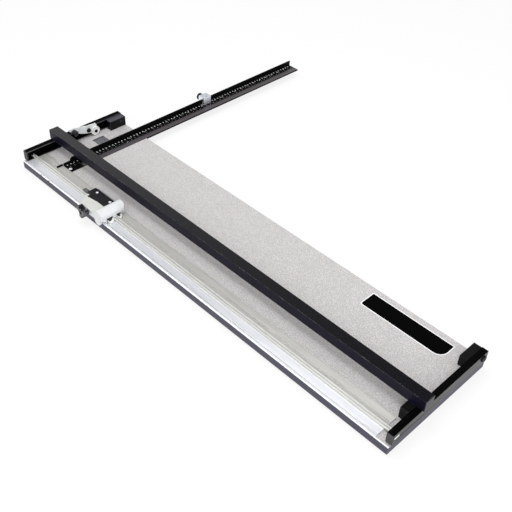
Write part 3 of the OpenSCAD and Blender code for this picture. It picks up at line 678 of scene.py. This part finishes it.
def turning(low, high, axis, end=-1):
    """Radius and length of a round solid in a box, and the middle of its low or high (1) end."""
    centre = (low + high) / 2
    centre[axis] = high[axis] if end > 0 else low[axis]
    return (high - low)[(axis + 1) % 3] / 2, (high - low)[axis], centre


def fluted(radius, depth, count):
    """Grooves round a grip: at the rim, depth * (1 + cos(count * angle)) / 2 off the radius."""

    def cut(angle, radii):
        outer = np.clip((radii - 0.8 * radius) / (0.2 * radius), 0, 1)
        return radii - outer * depth * (0.5 + 0.5 * np.cos(count * angle))

    return cut


def screw(low, high, axis, end, head, shank, recess, sunk):
    """One screw in the box of its solid, with its head at the high (1) or the low (-1) end.

    Depths run inwards from the head's outer face. The face is domed by a quarter of the head's
    height. A cross recess lies deeper where the point is within a slot's half width of either of
    its two lines, and a socket where it is inside a hexagon.
    """
    radius, whole, centre = turning(low, high, axis, end)
    face = np.linspace(0, 0.92 * radius, 18)
    if sunk:
        dome, rim, under = 0, [(radius, 0.05 * head)], []
    else:
        dome, rim = 0.25 * head, [(0.985 * radius, 0.45 * head), (radius, 0.6 * head)]
        under = [(radius, 0.97 * head), (0.97 * radius, head)]
    tip = [(shank, head), (shank, whole - 0.2 * shank), (0.8 * shank, whole), (0, whole)]
    top = np.stack([face, dome * (face / radius) ** 2], 1)
    profile = np.concatenate([top, rim + under + tip])

    def push(angle, radii, depth):
        across, other = np.abs(radii * np.cos(angle)), np.abs(radii * np.sin(angle))
        if recess == "cross":
            inside = np.clip((0.17 * radius - np.minimum(across, other)) / (0.05 * radius), 0, 1)
            inside = inside * np.clip((0.66 * radius - radii) / (0.08 * radius), 0, 1)
        else:
            turn = np.mod(angle, math.pi / 3) - math.pi / 6
            inside = np.clip((0.48 * radius - radii * np.cos(turn)) / (0.06 * radius), 0, 1)
        face_only = np.arange(len(radii))[:, None] < len(face)
        return -end * (depth + np.where(face_only, 0.5 * head * inside, 0))

    return turned(profile, axis, centre, 48, push=push)


def screws(node, material, axis, end, head, shank, recess="cross", sunk=False):
    """Turned screws for every solid of a CAD node. An end of 0 puts the heads outermost."""
    grids = []
    for low, high in solids_of(node):
        side = end or math.copysign(1, low[axis] + high[axis])
        grids.append(screw(low, high, axis, side, head * MM, shank * MM, recess, sunk))
    settle(surface(node + "_piece", grids, 35), material, node)


def threaded(node, material, axis, pitch=1.0, depth=0.35):
    """A stud with chamfered ends and thread ridges a pitch apart, drawn as rings."""
    radius, whole, centre = turning(*corners_of(node), axis)
    along = np.arange(1, int(whole / (pitch * MM) * 2) - 1) * pitch * MM / 2
    ridges = radius - depth * MM * (np.arange(len(along)) % 2)
    root = radius - 2 * depth * MM
    ends = [(0, 0), (root, 0)], [(root, whole), (0, whole)]
    profile = np.concatenate([ends[0], np.stack([ridges, along], 1), ends[1]])
    piece = surface(node + "_piece", [turned(profile, axis, centre, 32)], 25)
    settle(piece, material, node)


class TRIMMER_OT_stage(bpy.types.Operator):
    """Makes the floor, the light and the camera"""

    bl_idname = "trimmer.stage"
    bl_label = "Stage"

    def execute(self, context):
        scene = context.scene
        scene.view_settings.view_transform = "Standard"
        world = bpy.data.worlds.new("studio")
        world.use_nodes = True
        tree = world.node_tree
        tree.nodes.clear()
        place = add(tree, "ShaderNodeTexCoord").outputs["Generated"]
        height = add(tree, "ShaderNodeSeparateXYZ", {"Vector": place}).outputs["Z"]
        shown = spread(tree, height, 1.0, CEILING, CEILING_START, CEILING_END)
        level = {0: seen_directly(tree), 2: WORLD_LEVEL, 3: shown}
        level = add(tree, "ShaderNodeMix", level, data_type="FLOAT").outputs[0]
        sky = add(tree, "ShaderNodeBackground", {"Color": (1, 1, 1, 1), "Strength": level})
        tree.links.new(sky.outputs[0], add(tree, "ShaderNodeOutputWorld").inputs["Surface"])
        scene.world = world

        corners = rectangle(-FLOOR_HALF, -FLOOR_HALF, FLOOR_HALF, FLOOR_HALF)
        floor = put_mesh("floor", [(x, y, 0) for x, y in corners], [(0, 1, 2, 3)])
        material = bpy.data.materials.new("white sweep")
        material.use_nodes = True
        tree = material.node_tree
        tree.nodes.clear()
        paper = add(tree, "ShaderNodeBsdfDiffuse", {"Color": (0.9, 0.9, 0.9, 1)})
        glow = add(tree, "ShaderNodeEmission", {"Color": (1, 1, 1, 1), "Strength": 1.0})
        share = spread(tree, seen_directly(tree), 0.0, 0.8, 0.0, 1.0)
        both = {0: share, 1: paper.outputs[0], 2: glow.outputs[0]}
        both = add(tree, "ShaderNodeMixShader", both)
        tree.links.new(both.outputs[0], add(tree, "ShaderNodeOutputMaterial").inputs["Surface"])
        floor.data.materials.append(material)
        for settings in LAMPS:
            lamp(*settings)

        data = bpy.data.cameras.new("camera")
        data.lens, data.sensor_width = CAMERA_LENS, 36
        camera = put("camera", data)
        camera.location = CAMERA_PLACE
        camera.rotation_euler = [math.radians(a) for a in CAMERA_TURN]
        scene.camera = camera
        return {"FINISHED"}


class TRIMMER_OT_board(bpy.types.Operator):
    """Finishes the board: chipboard core, edge band and speckled laminate"""

    bl_idname = "trimmer.board"
    bl_label = "Board"

    def execute(self, context):
        colours, sizes = choices(context)
        piece = dressed("board_core", 0.2 * MM, chipboard_core(colours))
        low, high = corners_of("board_core")
        front, under = low[1] + NOTCH_DEPTH, high[2] - NOTCH_HEIGHT
        # Painted shade: the core's faces inside the front notches are coloured dark
        notch_shade = moulded("dark notches", colours.rubber, 0.8)
        give(piece, notch_shade, lambda p, n: (p[1] < front) & (p[2] > under))
        dressed("edge_band", sizes.sheet_round, edge_band_plastic(colours))
        dressed("laminate", sizes.sheet_round, speckled_laminate(colours))
        return {"FINISHED"}


class TRIMMER_OT_feet(bpy.types.Operator):
    """Turns the rubber feet: a rounded disc with a hollow for its screw"""

    bl_idname = "trimmer.feet"
    bl_label = "Feet"

    def execute(self, context):
        colours = context.scene.trimmer_colours
        grids = []
        for low, high in solids_of("feet"):
            radius, height, centre = turning(low, high, 2)
            hollow = [(0, 0.4 * height), (0.35 * radius, 0.4 * height), (0.4 * radius, 0)]
            corners = hollow + [(0.88 * radius, 0), (radius, height), (0, height)]
            profile = rounded(corners, np.array([0, 0.3, 0.5, 1, 0.2, 0]) * MM)
            grids.append(turned(profile, 2, centre, 40))
        rubber = moulded("foot rubber", colours.rubber, 0.75, 1.5, 0.05)
        settle(surface("feet_piece", grids), rubber, "feet")
        return {"FINISHED"}


class TRIMMER_OT_labels(bpy.types.Operator):
    """Makes the two bare labels: a black plate in a white border, and a foil with a strip"""

    bl_idname = "trimmer.labels"
    bl_label = "Labels"

    def execute(self, context):
        colours, sizes = choices(context)
        low, high = corners_of("large_label")
        thick = high[2] - low[2]
        border = moulded("white label border", colours.border, 0.5)
        ground = label_film("black label film", colours.label, 0.35, sheen=0.04)
        for name, material, inset, bottom, top in (
            ("large_label_border", border, 0, 0, 0.85),
            ("large_label_ground", ground, sizes.label_border, 0.4, 1),
        ):
            (x0, y0), far = low[:2] + inset, high[:2] - inset
            others = rectangle(x0, y0, *far)[1:]
            corners = [(x0 + LABEL_CHAMFER, y0), *others, (x0, y0 + LABEL_CHAMFER)]
            radii = [0.5 * MM, LABEL_CORNER - inset, MM, MM, 0.5 * MM]
            piece = plate(name, corners, radii, 12, low[2] + bottom * thick, low[2] + top * thick)
            settle(piece, material, "large_label")

        low, high = corners_of("small_label")
        split = low[0] + LABEL_STRIP * (high - low)[0]
        foil = label_film("silver label foil", colours.foil, 0.38, 0.5)
        dark = label_film("dark label strip", shade(colours.foil, 0.45), 0.4)
        for name, material, left, right in (
            ("small_label_foil", foil, split, high[0]),
            ("small_label_strip", dark, low[0], split),
        ):
            corners = rectangle(left, low[1], right, high[1])
            settle(plate(name, corners, 0.8 * MM, 4, low[2], high[2]), material, "small_label")
        return {"FINISHED"}


class TRIMMER_OT_arm(bpy.types.Operator):
    """Dresses the squaring arm and prints its scale: centimetres, and inches with numbers"""

    bl_idname = "trimmer.arm"
    bl_label = "Squaring arm"

    def execute(self, context):
        colours, sizes = choices(context)
        coat = black_anodised("arm anodising", colours.arm, 0.4, 0.06)
        # Painted highlight on the arm's rounded edges
        dressed("squaring_arm", 0.3 * MM, coat, worn_edge("arm edges", colours.arm))
        low, high = corners_of("squaring_arm")
        start, top = corners_of("guide_rail")[1][1], corners_of("laminate")[1][2]
        left, end = low[0] + FENCE_T, high[1]

        film = label_film("matt black scale", colours.arm, 0.6, sheen=0.15)
        # Painted sheen: a lighter, glossier plate along the flange, starting a way behind the rail
        strip = black_anodised("arm sheen strip anodising", colours.strip, 0.3, 0.6)
        for name, material, (near, far), first in (
            ("scale_ground", film, SCALE, 0.5 * MM),
            ("arm_strip", strip, STRIP, STRIP_START),
        ):
            corners = rectangle(left + near, start + first, left + far, end - 0.5 * MM)
            piece = plate(name, corners, 0.3 * MM, 3, top + GROUND_Z[0], top + GROUND_Z[1])
            settle(piece, material, "squaring_arm", False)

        # Centimetres beside the fence, and inches with their halves beside the strip. Both count
        # from the line that the blade cuts.
        zero = sum(corners_of("blade"))[1] / 2
        lows, highs = [], []
        for step, near, far, share in SCALE_ROWS:
            places = np.arange(zero + step, end - 2 * MM, step)
            places = places[places > start + 2 * MM]
            flat, half = np.zeros(len(places)), sizes.tick_w * share / 2
            lows.append(np.stack([flat + left + near, places - half, flat + top + TICKS_Z[0]], 1))
            highs.append(np.stack([flat + left + far, places + half, flat + top + TICKS_Z[1]], 1))
        points, faces = slabs(np.concatenate(lows), np.concatenate(highs))
        ink = printed_ink("scale ink", colours.ink)
        ticks = put_mesh("scale_ticks", points.tolist(), faces.tolist())
        settle(ticks, ink, "squaring_arm", False)

        words = [
            (str(n), (left + NUMBERS_X, zero + n * INCH, top + NUMBERS_Z))
            for n in range(1, int((end - zero) / INCH))
            if zero + n * INCH > start + 3 * MM
        ]
        numbers = flat_words("scale_numbers", words, sizes.figure_h, 0.02 * MM)
        settle(numbers, ink, "squaring_arm", False)
        # Painted glint: a lighter, less metallic copy of the steel, so that the screw heads show
        # as white dots
        white = plated_steel("matt arm screw zinc", shade(colours.steel, 1.3), 0.45, 0.3)
        screws("arm_screws", white, 2, 1, 2.0, 1.95, sunk=True)
        return {"FINISHED"}


class TRIMMER_OT_blocks(bpy.types.Operator):
    """Rounds the hinge blocks and the rest block, turns their screws and bolts, and paints the
    spacers
    """

    bl_idname = "trimmer.blocks"
    bl_label = "Hinge blocks"

    def execute(self, context):
        colours, sizes = choices(context)
        resin = moulded("hinge block acetal", colours.block, 0.45, 1.2, sheen=0.15)
        # Painted light: a lighter tone on the left block's rounded edges, a painted highlight, and
        # a grey one on its top faces
        edges = moulded("hinge block edges", shade(colours.rubbed, 1.6), 0.4, 1.2)
        rubbed = moulded("hinge block tops", colours.rubbed, 0.5, 1.2, 0.05)
        piece = dressed("left_hinge_block", sizes.moulded_round * 0.6, resin, edges)
        give(piece, rubbed, lambda p, n: n[2] > FACING)
        # Painted highlight on the rounded edges of the right hinge block and the rest block
        block_edge_highlight = worn_edge("block edges", colours.block)
        for node in ("right_hinge_block", "rest_block"):
            dressed(node, sizes.moulded_round, resin, block_edge_highlight, segments=3)
        zinc = plated_steel("block screw zinc", colours.steel, 0.3)
        black = plated_steel("black bolt", shade(colours.knob, 3), 0.35)
        screws("block_screws", zinc, 2, -1, 3.0, 2.5)
        screws("hinge_bolts", black, 0, 0, 3.5, 3.95, "socket")
        paint("hinge_spacers", zinc)
        return {"FINISHED"}


class TRIMMER_OT_lift_frame(bpy.types.Operator):
    """Dresses the lift frame: channels, caps, cross bar, guide rail and their screws"""

    bl_idname = "trimmer.lift_frame"
    bl_label = "Lift frame"

    def execute(self, context):
        colours, sizes = choices(context)
        self.channels(colours, sizes)
        plastic = moulded("cap polyethylene", colours.cap, 0.45, 1.5)
        for node in ("channel_caps", "bar_caps"):
            dressed(node, 0.4 * MM, plastic)
        coat = powder_coat("bar powder coat", colours.bar, 0.22, 1.2, 0.45)
        # Painted highlight on the bar's rounded edges, made much lighter
        edges = worn_edge("bar edges", colours.bar, 0.5)
        piece = dressed("cross_bar", sizes.metal_round * 1.4, coat, edges)
        # Painted shade: the front faces get a bluer copy of the coat with little sheen, so that
        # they render darker
        front = powder_coat("bar front coat", colours.bar_front, 0.4, 1.2, 0.12)
        give(piece, front, lambda p, n: n[1] < -FACING)
        self.rail(colours, sizes)
        dressed("slot_plugs", 0.2 * MM, moulded("plug nylon", colours.nylon, 0.35))
        zinc = plated_steel("frame screw zinc", colours.steel, 0.3)
        screws("bar_screws", zinc, 2, -1, 2.2, 2.0)
        screws("rail_screws", zinc, 2, 1, 2.2, 2.0)
        return {"FINISHED"}

    def channels(self, colours, sizes):
        """The end channels: painted shade inside and on the roof, and a painted highlight on the
        mouth's lip.
        """
        coat = black_anodised("channel anodising", colours.channel, 0.28, 0.3)
        # Painted highlight on the channels' rounded edges
        edges = worn_edge("channel edges", colours.channel)
        # Painted shade: darker copies of the anodising inside the channels and on their roof
        matt = black_anodised("channel inside", shade(colours.channel, 0.3), 0.7, 0.05)
        dull = black_anodised("channel roof", shade(colours.channel, 0.5), 0.45, 0.03)
        # Painted highlight: a lighter tone on the upper lip over the mouth
        rubbed = worn_edge("channel lip", colours.lip)
        for node, mouth_right in (("left_channel", True), ("right_channel", False)):
            piece = dressed(node, sizes.metal_round, coat, edges)
            low, high = corners_of(node)
            low, high = low + 0.5 * MM, high - 0.5 * MM

            def inside(p, n):
                within = (p > low[:, None]) & (p < high[:, None])
                return within[0] & within[2] & (abs(n[1]) < FACING)

            def roof(p, n):
                return (n[2] > FACING) & (p[2] > high[2])

            def lip(p, n):
                at_mouth = p[0] > high[0] if mouth_right else p[0] < low[0]
                return at_mouth & (p[2] > (low[2] + high[2]) / 2)

            give(piece, matt, inside)
            give(piece, dull, roof)
            give(piece, rubbed, lip)

    def rail(self, colours, sizes):
        """The rail: bright front flange, painted light on the ridge top, painted shade on wall,
        rear and grooves.
        """
        low, high = corners_of("guide_rail")
        flange, ridge = low[2] + RAIL_T, high[2] - 0.5 * MM
        front, back = low[1] + RIDGE[0], low[1] + RIDGE[1]
        # Painted highlight on the flange's strip just ahead of the ridge
        strip = colours.unrubbed, front - RAIL_STRIP
        coat = clear_anodised("rail anodising", colours.rail, 0.36, strip)
        # Painted highlight: the rail's rounded edges get a lighter copy of the anodising
        edge_glint = clear_anodised("rubbed rail edges", shade(colours.rail, 1.05), 0.42)
        piece = dressed("guide_rail", sizes.metal_round, coat, edge_glint)

        def rear(p, n):
            return (n[2] > FACING) & (p[1] > back) & (abs(p[2] - flange) < SLACK)

        def top(p, n):
            return (n[2] > FACING) & (p[2] > ridge)

        def wall(p, n):
            return (n[1] < -FACING) & (p[2] > flange) & (abs(p[1] - front) < SLACK)

        def grooves(p, n):
            lower = (p[2] < flange - SLACK) | ((p[2] > flange + SLACK) & (p[2] < ridge))
            outer = (abs(p[1] - front) < SLACK) | (abs(p[1] - back) < SLACK)
            outer = outer | (p[1] < low[1] + SLACK) | (p[1] > high[1] - SLACK)
            return ((n[2] > FACING) & lower) | ((abs(n[1]) > FACING) & ~outer)

        # Painted light and shade: lighter and darker copies of the anodising on the rear flange,
        # ridge top, ridge wall and grooves
        give(piece, clear_anodised("rear flange anodising", colours.rear, 0.4), rear)
        give(piece, clear_anodised("ridge anodising", colours.ridge, 0.36), top)
        give(piece, clear_anodised("ridge wall anodising", colours.rear, 0.4), wall)
        give(piece, clear_anodised("groove anodising", shade(colours.rear, 0.8), 0.5), grooves)


class TRIMMER_OT_lever(bpy.types.Operator):
    """Dresses the lift lever, and turns its grip, its bolts and the roller"""

    bl_idname = "trimmer.lever"
    bl_label = "Lift lever"

    def execute(self, context):
        colours = context.scene.trimmer_colours
        enamel = powder_coat("lever enamel", colours.lever, 0.4, 1.2)
        dressed("lift_lever", 0.5 * MM, enamel, segments=3)
        black = plated_steel("black lever bolt", shade(colours.knob, 3), 0.35)
        screws("lever_bolt", black, 0, 1, 3.0, 3.95, "socket")
        screws("roller_bolt", black, 0, 1, 3.0, 3.0, "socket")
        paint("lever_spacer", plated_steel("spacer zinc", colours.steel, 0.35))

        radius, whole, centre = turning(*corners_of("lever_grip"), 0)
        dish = whole - 0.6 * MM
        corners = [(0, 0), (radius / 3, 0), (radius / 3, GRIP_SPIGOT), (radius, GRIP_SPIGOT)]
        corners += [(radius, whole), (0.55 * radius, whole), (0.5 * radius, dish), (0, dish)]
        profile = rounded(corners, np.array([0, 0, 0, 1, 1.6, 0.3, 0.3, 0]) * MM, 5)
        grid = turned(profile, 0, centre, 144, fluted(radius, 0.35 * MM, 24))
        phenolic = moulded("grip phenolic", colours.knob, 0.3)
        settle(surface("lever_grip_piece", [grid], 30), phenolic, "lever_grip")

        radius, width, centre = turning(*corners_of("roller"), 0)
        hollow = 0.14 * width
        side = [(ROLLER_BORE, 0), (0.42 * radius, 0), (0.46 * radius, hollow)]
        side += [(0.78 * radius, hollow), (0.82 * radius, 0), (radius, 0)]
        corners = side + [(r, width - x) for r, x in reversed(side)] + side[:1]
        profile = rounded(corners, np.array([0, 3, 3, 3, 3, 8, 8, 3, 3, 3, 3, 0, 0]) * 0.1 * MM, 4)
        nylon = moulded("roller nylon", colours.nylon, 0.35)
        grid = turned(profile, 0, centre, 96)
        settle(surface("roller_piece", [grid], 30), nylon, "roller")
        return {"FINISHED"}


class TRIMMER_OT_head(bpy.types.Operator):
    """Dresses the cutting head: casting, glides, pads and hinge pin"""

    bl_idname = "trimmer.head"
    bl_label = "Cutting head"

    def execute(self, context):
        colours, sizes = choices(context)
        enamel = cast_enamel("head enamel", colours.casting)
        piece = dressed("head_casting", sizes.cast_round, enamel, segments=4)
        low, high = corners_of("head_casting")
        middle, hump = (low[2] + high[2]) / 2, high[2] - HUMP_HEIGHT
        # Painted shade: a darker, warmer copy of the enamel on the deck's top faces
        deck = cast_enamel("deck enamel", colours.deck)
        give(piece, deck, lambda p, n: (n[2] > 0.95) & (p[2] > middle) & (p[2] < hump))
        dressed("glides", 0.6 * MM, moulded("glide acetal", colours.block, 0.4))
        dressed("glide_pads", 0.6 * MM, moulded("pad nylon", colours.nylon, 0.4), segments=3)
        threaded("hinge_pin", plated_steel("hinge pin steel", colours.steel), 0, 2.0, 0.02)
        return {"FINISHED"}


class TRIMMER_OT_holder(bpy.types.Operator):
    """Dresses the blade holder with its clamp, blade, screws and thumb tab"""

    bl_idname = "trimmer.holder"
    bl_label = "Blade holder"

    def execute(self, context):
        colours = context.scene.trimmer_colours
        coat = powder_coat("holder coat", colours.holder, 0.36, 1.0, 0.25)
        # Painted highlight on the holder's rounded edges
        dressed("blade_holder", 0.4 * MM, coat, worn_edge("holder edges", colours.holder))
        dressed("blade_clamp", 0.4 * MM, bead_blasted("clamp aluminium", colours.stop))
        dressed("blade", 0.15 * MM, plated_steel("blade steel", colours.steel, 0.18))
        dressed("thumb_tab", 1.4 * MM, moulded("tab resin", colours.tab, 0.45), segments=4)
        # Painted glint: a lighter, less metallic copy of the steel, so that the screw heads show
        # as white dots
        white = plated_steel("matt holder screw zinc", shade(colours.steel, 1.3), 0.45, 0.3)
        screws("holder_screws", white, 2, 1, 1.6, 2.0)
        return {"FINISHED"}


class TRIMMER_OT_head_knob(bpy.types.Operator):
    """Makes the three-lobed knob with its recess, and its threaded stud"""

    bl_idname = "trimmer.head_knob"
    bl_label = "Head knob"

    def execute(self, context):
        colours = context.scene.trimmer_colours
        low, high = corners_of("head_knob")
        whole = (high - low)[1]
        centre = sum(corners_of("head_stud")) / 2 * (1, 0, 1) + low * (0, 1, 0)
        recess = [(KNOB_BORE, KNOB_RECESS), (KNOB_RECESS_R, KNOB_RECESS), (KNOB_RECESS_R, 0)]
        corners = recess + [(KNOB_R, 0), (KNOB_R, whole), (KNOB_BORE, whole), recess[0]]
        profile = rounded(corners, np.array([0, 0.6, 0.8, 3.2, 2.2, 0, 0]) * MM, 8)

        def lobes(angle, radii):
            """Radius over hub and lobes, where p is the angle from the nearest lobe's line.

            A lobe is a circle of radius r at a distance d, so its edge is at d * cos(p) +
            sqrt(r * r - (d * sin(p)) ** 2), and its neck at r / sin(p). The hub and the lobe
            are joined by the 10th root of the sum of their 10th powers. The angle runs from
            +Z to +X, and the lobes' turn from +X to +Z.
            """
            offset = KNOB_R - KNOB_LOBE_R
            step = 2 * math.pi / KNOB_LOBES
            first = math.pi / 2 - KNOB_TURN
            turn = np.abs(np.mod(angle - first + step / 2, step) - step / 2)
            side = offset * np.sin(turn)
            round_end = offset * np.cos(turn) + np.sqrt(np.maximum(KNOB_LOBE_R**2 - side**2, 0))
            neck = KNOB_LOBE_R / np.maximum(np.sin(turn), 0.05)
            on_end = round_end * np.sin(turn) < KNOB_LOBE_R
            lobe = np.where(on_end & (side < KNOB_LOBE_R), np.minimum(round_end, neck), neck)
            outline = (KNOB_HUB_R**10 + np.minimum(lobe, KNOB_R) ** 10) ** 0.1
            share = np.clip((radii - KNOB_RECESS_R) / (KNOB_R - KNOB_RECESS_R), 0, 1)
            return radii + share * (np.minimum(outline, KNOB_R) - KNOB_R)

        phenolic = moulded("knob phenolic", colours.knob, 0.1, 2.0, 0.005, 1.0)
        grid = turned(profile, 1, centre, 160, lobes)
        settle(surface("head_knob_piece", [grid], 30), phenolic, "head_knob")
        threaded("head_stud", plated_steel("stud zinc", colours.steel, 0.28), 1)
        return {"FINISHED"}


class TRIMMER_OT_stop(bpy.types.Operator):
    """Dresses the stop, and turns its fluted knob, the white collar and the stud"""

    bl_idname = "trimmer.stop"
    bl_label = "Stop"

    def execute(self, context):
        colours = context.scene.trimmer_colours
        blasted = bead_blasted("stop aluminium", shade(colours.stop, 1.45))
        # Painted highlight: the stop's rounded edges get a brighter plated copy of its metal
        edge_glint = plated_steel("stop edge glint", shade(colours.stop, 1.5), 0.3)
        dressed("stop_block", 0.9 * MM, blasted, edge_glint, segments=3)

        radius, whole, centre = turning(*corners_of("stop_knob"), 0)
        knob_l, start = whole - COLLAR_L, whole - COLLAR_L - 0.3 * MM
        corners = [(0, 0.6 * MM), (0.6 * radius, 0.6 * MM), (0.66 * radius, 0), (radius, 0)]
        corners += [(radius, knob_l), (0, knob_l)]
        profile = rounded(corners, np.array([0, 0.4, 0.4, 1.4, 1.4, 0]) * MM, 6)
        phenolic = moulded("stop knob phenolic", shade(colours.knob, 0.35), 0.25, sheen=0.3)
        grid = turned(profile, 0, centre, 160, fluted(radius, 0.5 * MM, 20))
        settle(surface("stop_knob_piece", [grid], 30), phenolic, "stop_knob")

        corners = [(0, start), (COLLAR_R, start), (COLLAR_R, whole), (0, whole)]
        profile = rounded(corners, np.array([0, 0.2, 0.6, 0]) * MM, 4)
        nylon = moulded("collar nylon", colours.nylon, 0.35)
        settle(surface("stop_collar", [turned(profile, 0, centre, 48)], 30), nylon, "stop_knob")
        threaded("stop_stud", plated_steel("stop stud zinc", colours.steel, 0.28), 0)
        return {"FINISHED"}


OPERATORS = [
    TRIMMER_OT_stage,
    TRIMMER_OT_board,
    TRIMMER_OT_feet,
    TRIMMER_OT_labels,
    TRIMMER_OT_arm,
    TRIMMER_OT_blocks,
    TRIMMER_OT_lift_frame,
    TRIMMER_OT_lever,
    TRIMMER_OT_head,
    TRIMMER_OT_holder,
    TRIMMER_OT_head_knob,
    TRIMMER_OT_stop,
]


class TRIMMER_PT_sidebar(bpy.types.Panel):
    """Lists the trimmer's pieces in the sidebar"""

    bl_idname = "TRIMMER_PT_sidebar"
    bl_label = "Paper trimmer"
    bl_space_type = "VIEW_3D"
    bl_region_type = "UI"
    bl_category = "Trimmer"

    def draw(self, context):
        for operator in OPERATORS:
            self.layout.operator(operator.bl_idname)


CLASSES = [TrimmerColours, TrimmerSizes, *OPERATORS, TRIMMER_PT_sidebar]


def register():
    """Registers the classes and puts their properties on the scene."""
    for item in CLASSES:
        bpy.utils.register_class(item)
    bpy.types.Scene.trimmer_colours = bpy.props.PointerProperty(type=TrimmerColours)
    bpy.types.Scene.trimmer_sizes = bpy.props.PointerProperty(type=TrimmerSizes)


def unregister():
    """Takes the properties and the classes away again."""
    del bpy.types.Scene.trimmer_sizes
    del bpy.types.Scene.trimmer_colours
    for item in reversed(CLASSES):
        bpy.utils.unregister_class(item)


def main():
    """Runs every operator."""
    register()
    for operator in OPERATORS:
        group, name = operator.bl_idname.split(".")
        getattr(getattr(bpy.ops, group), name)()


if __name__ == "__main__":
    main()
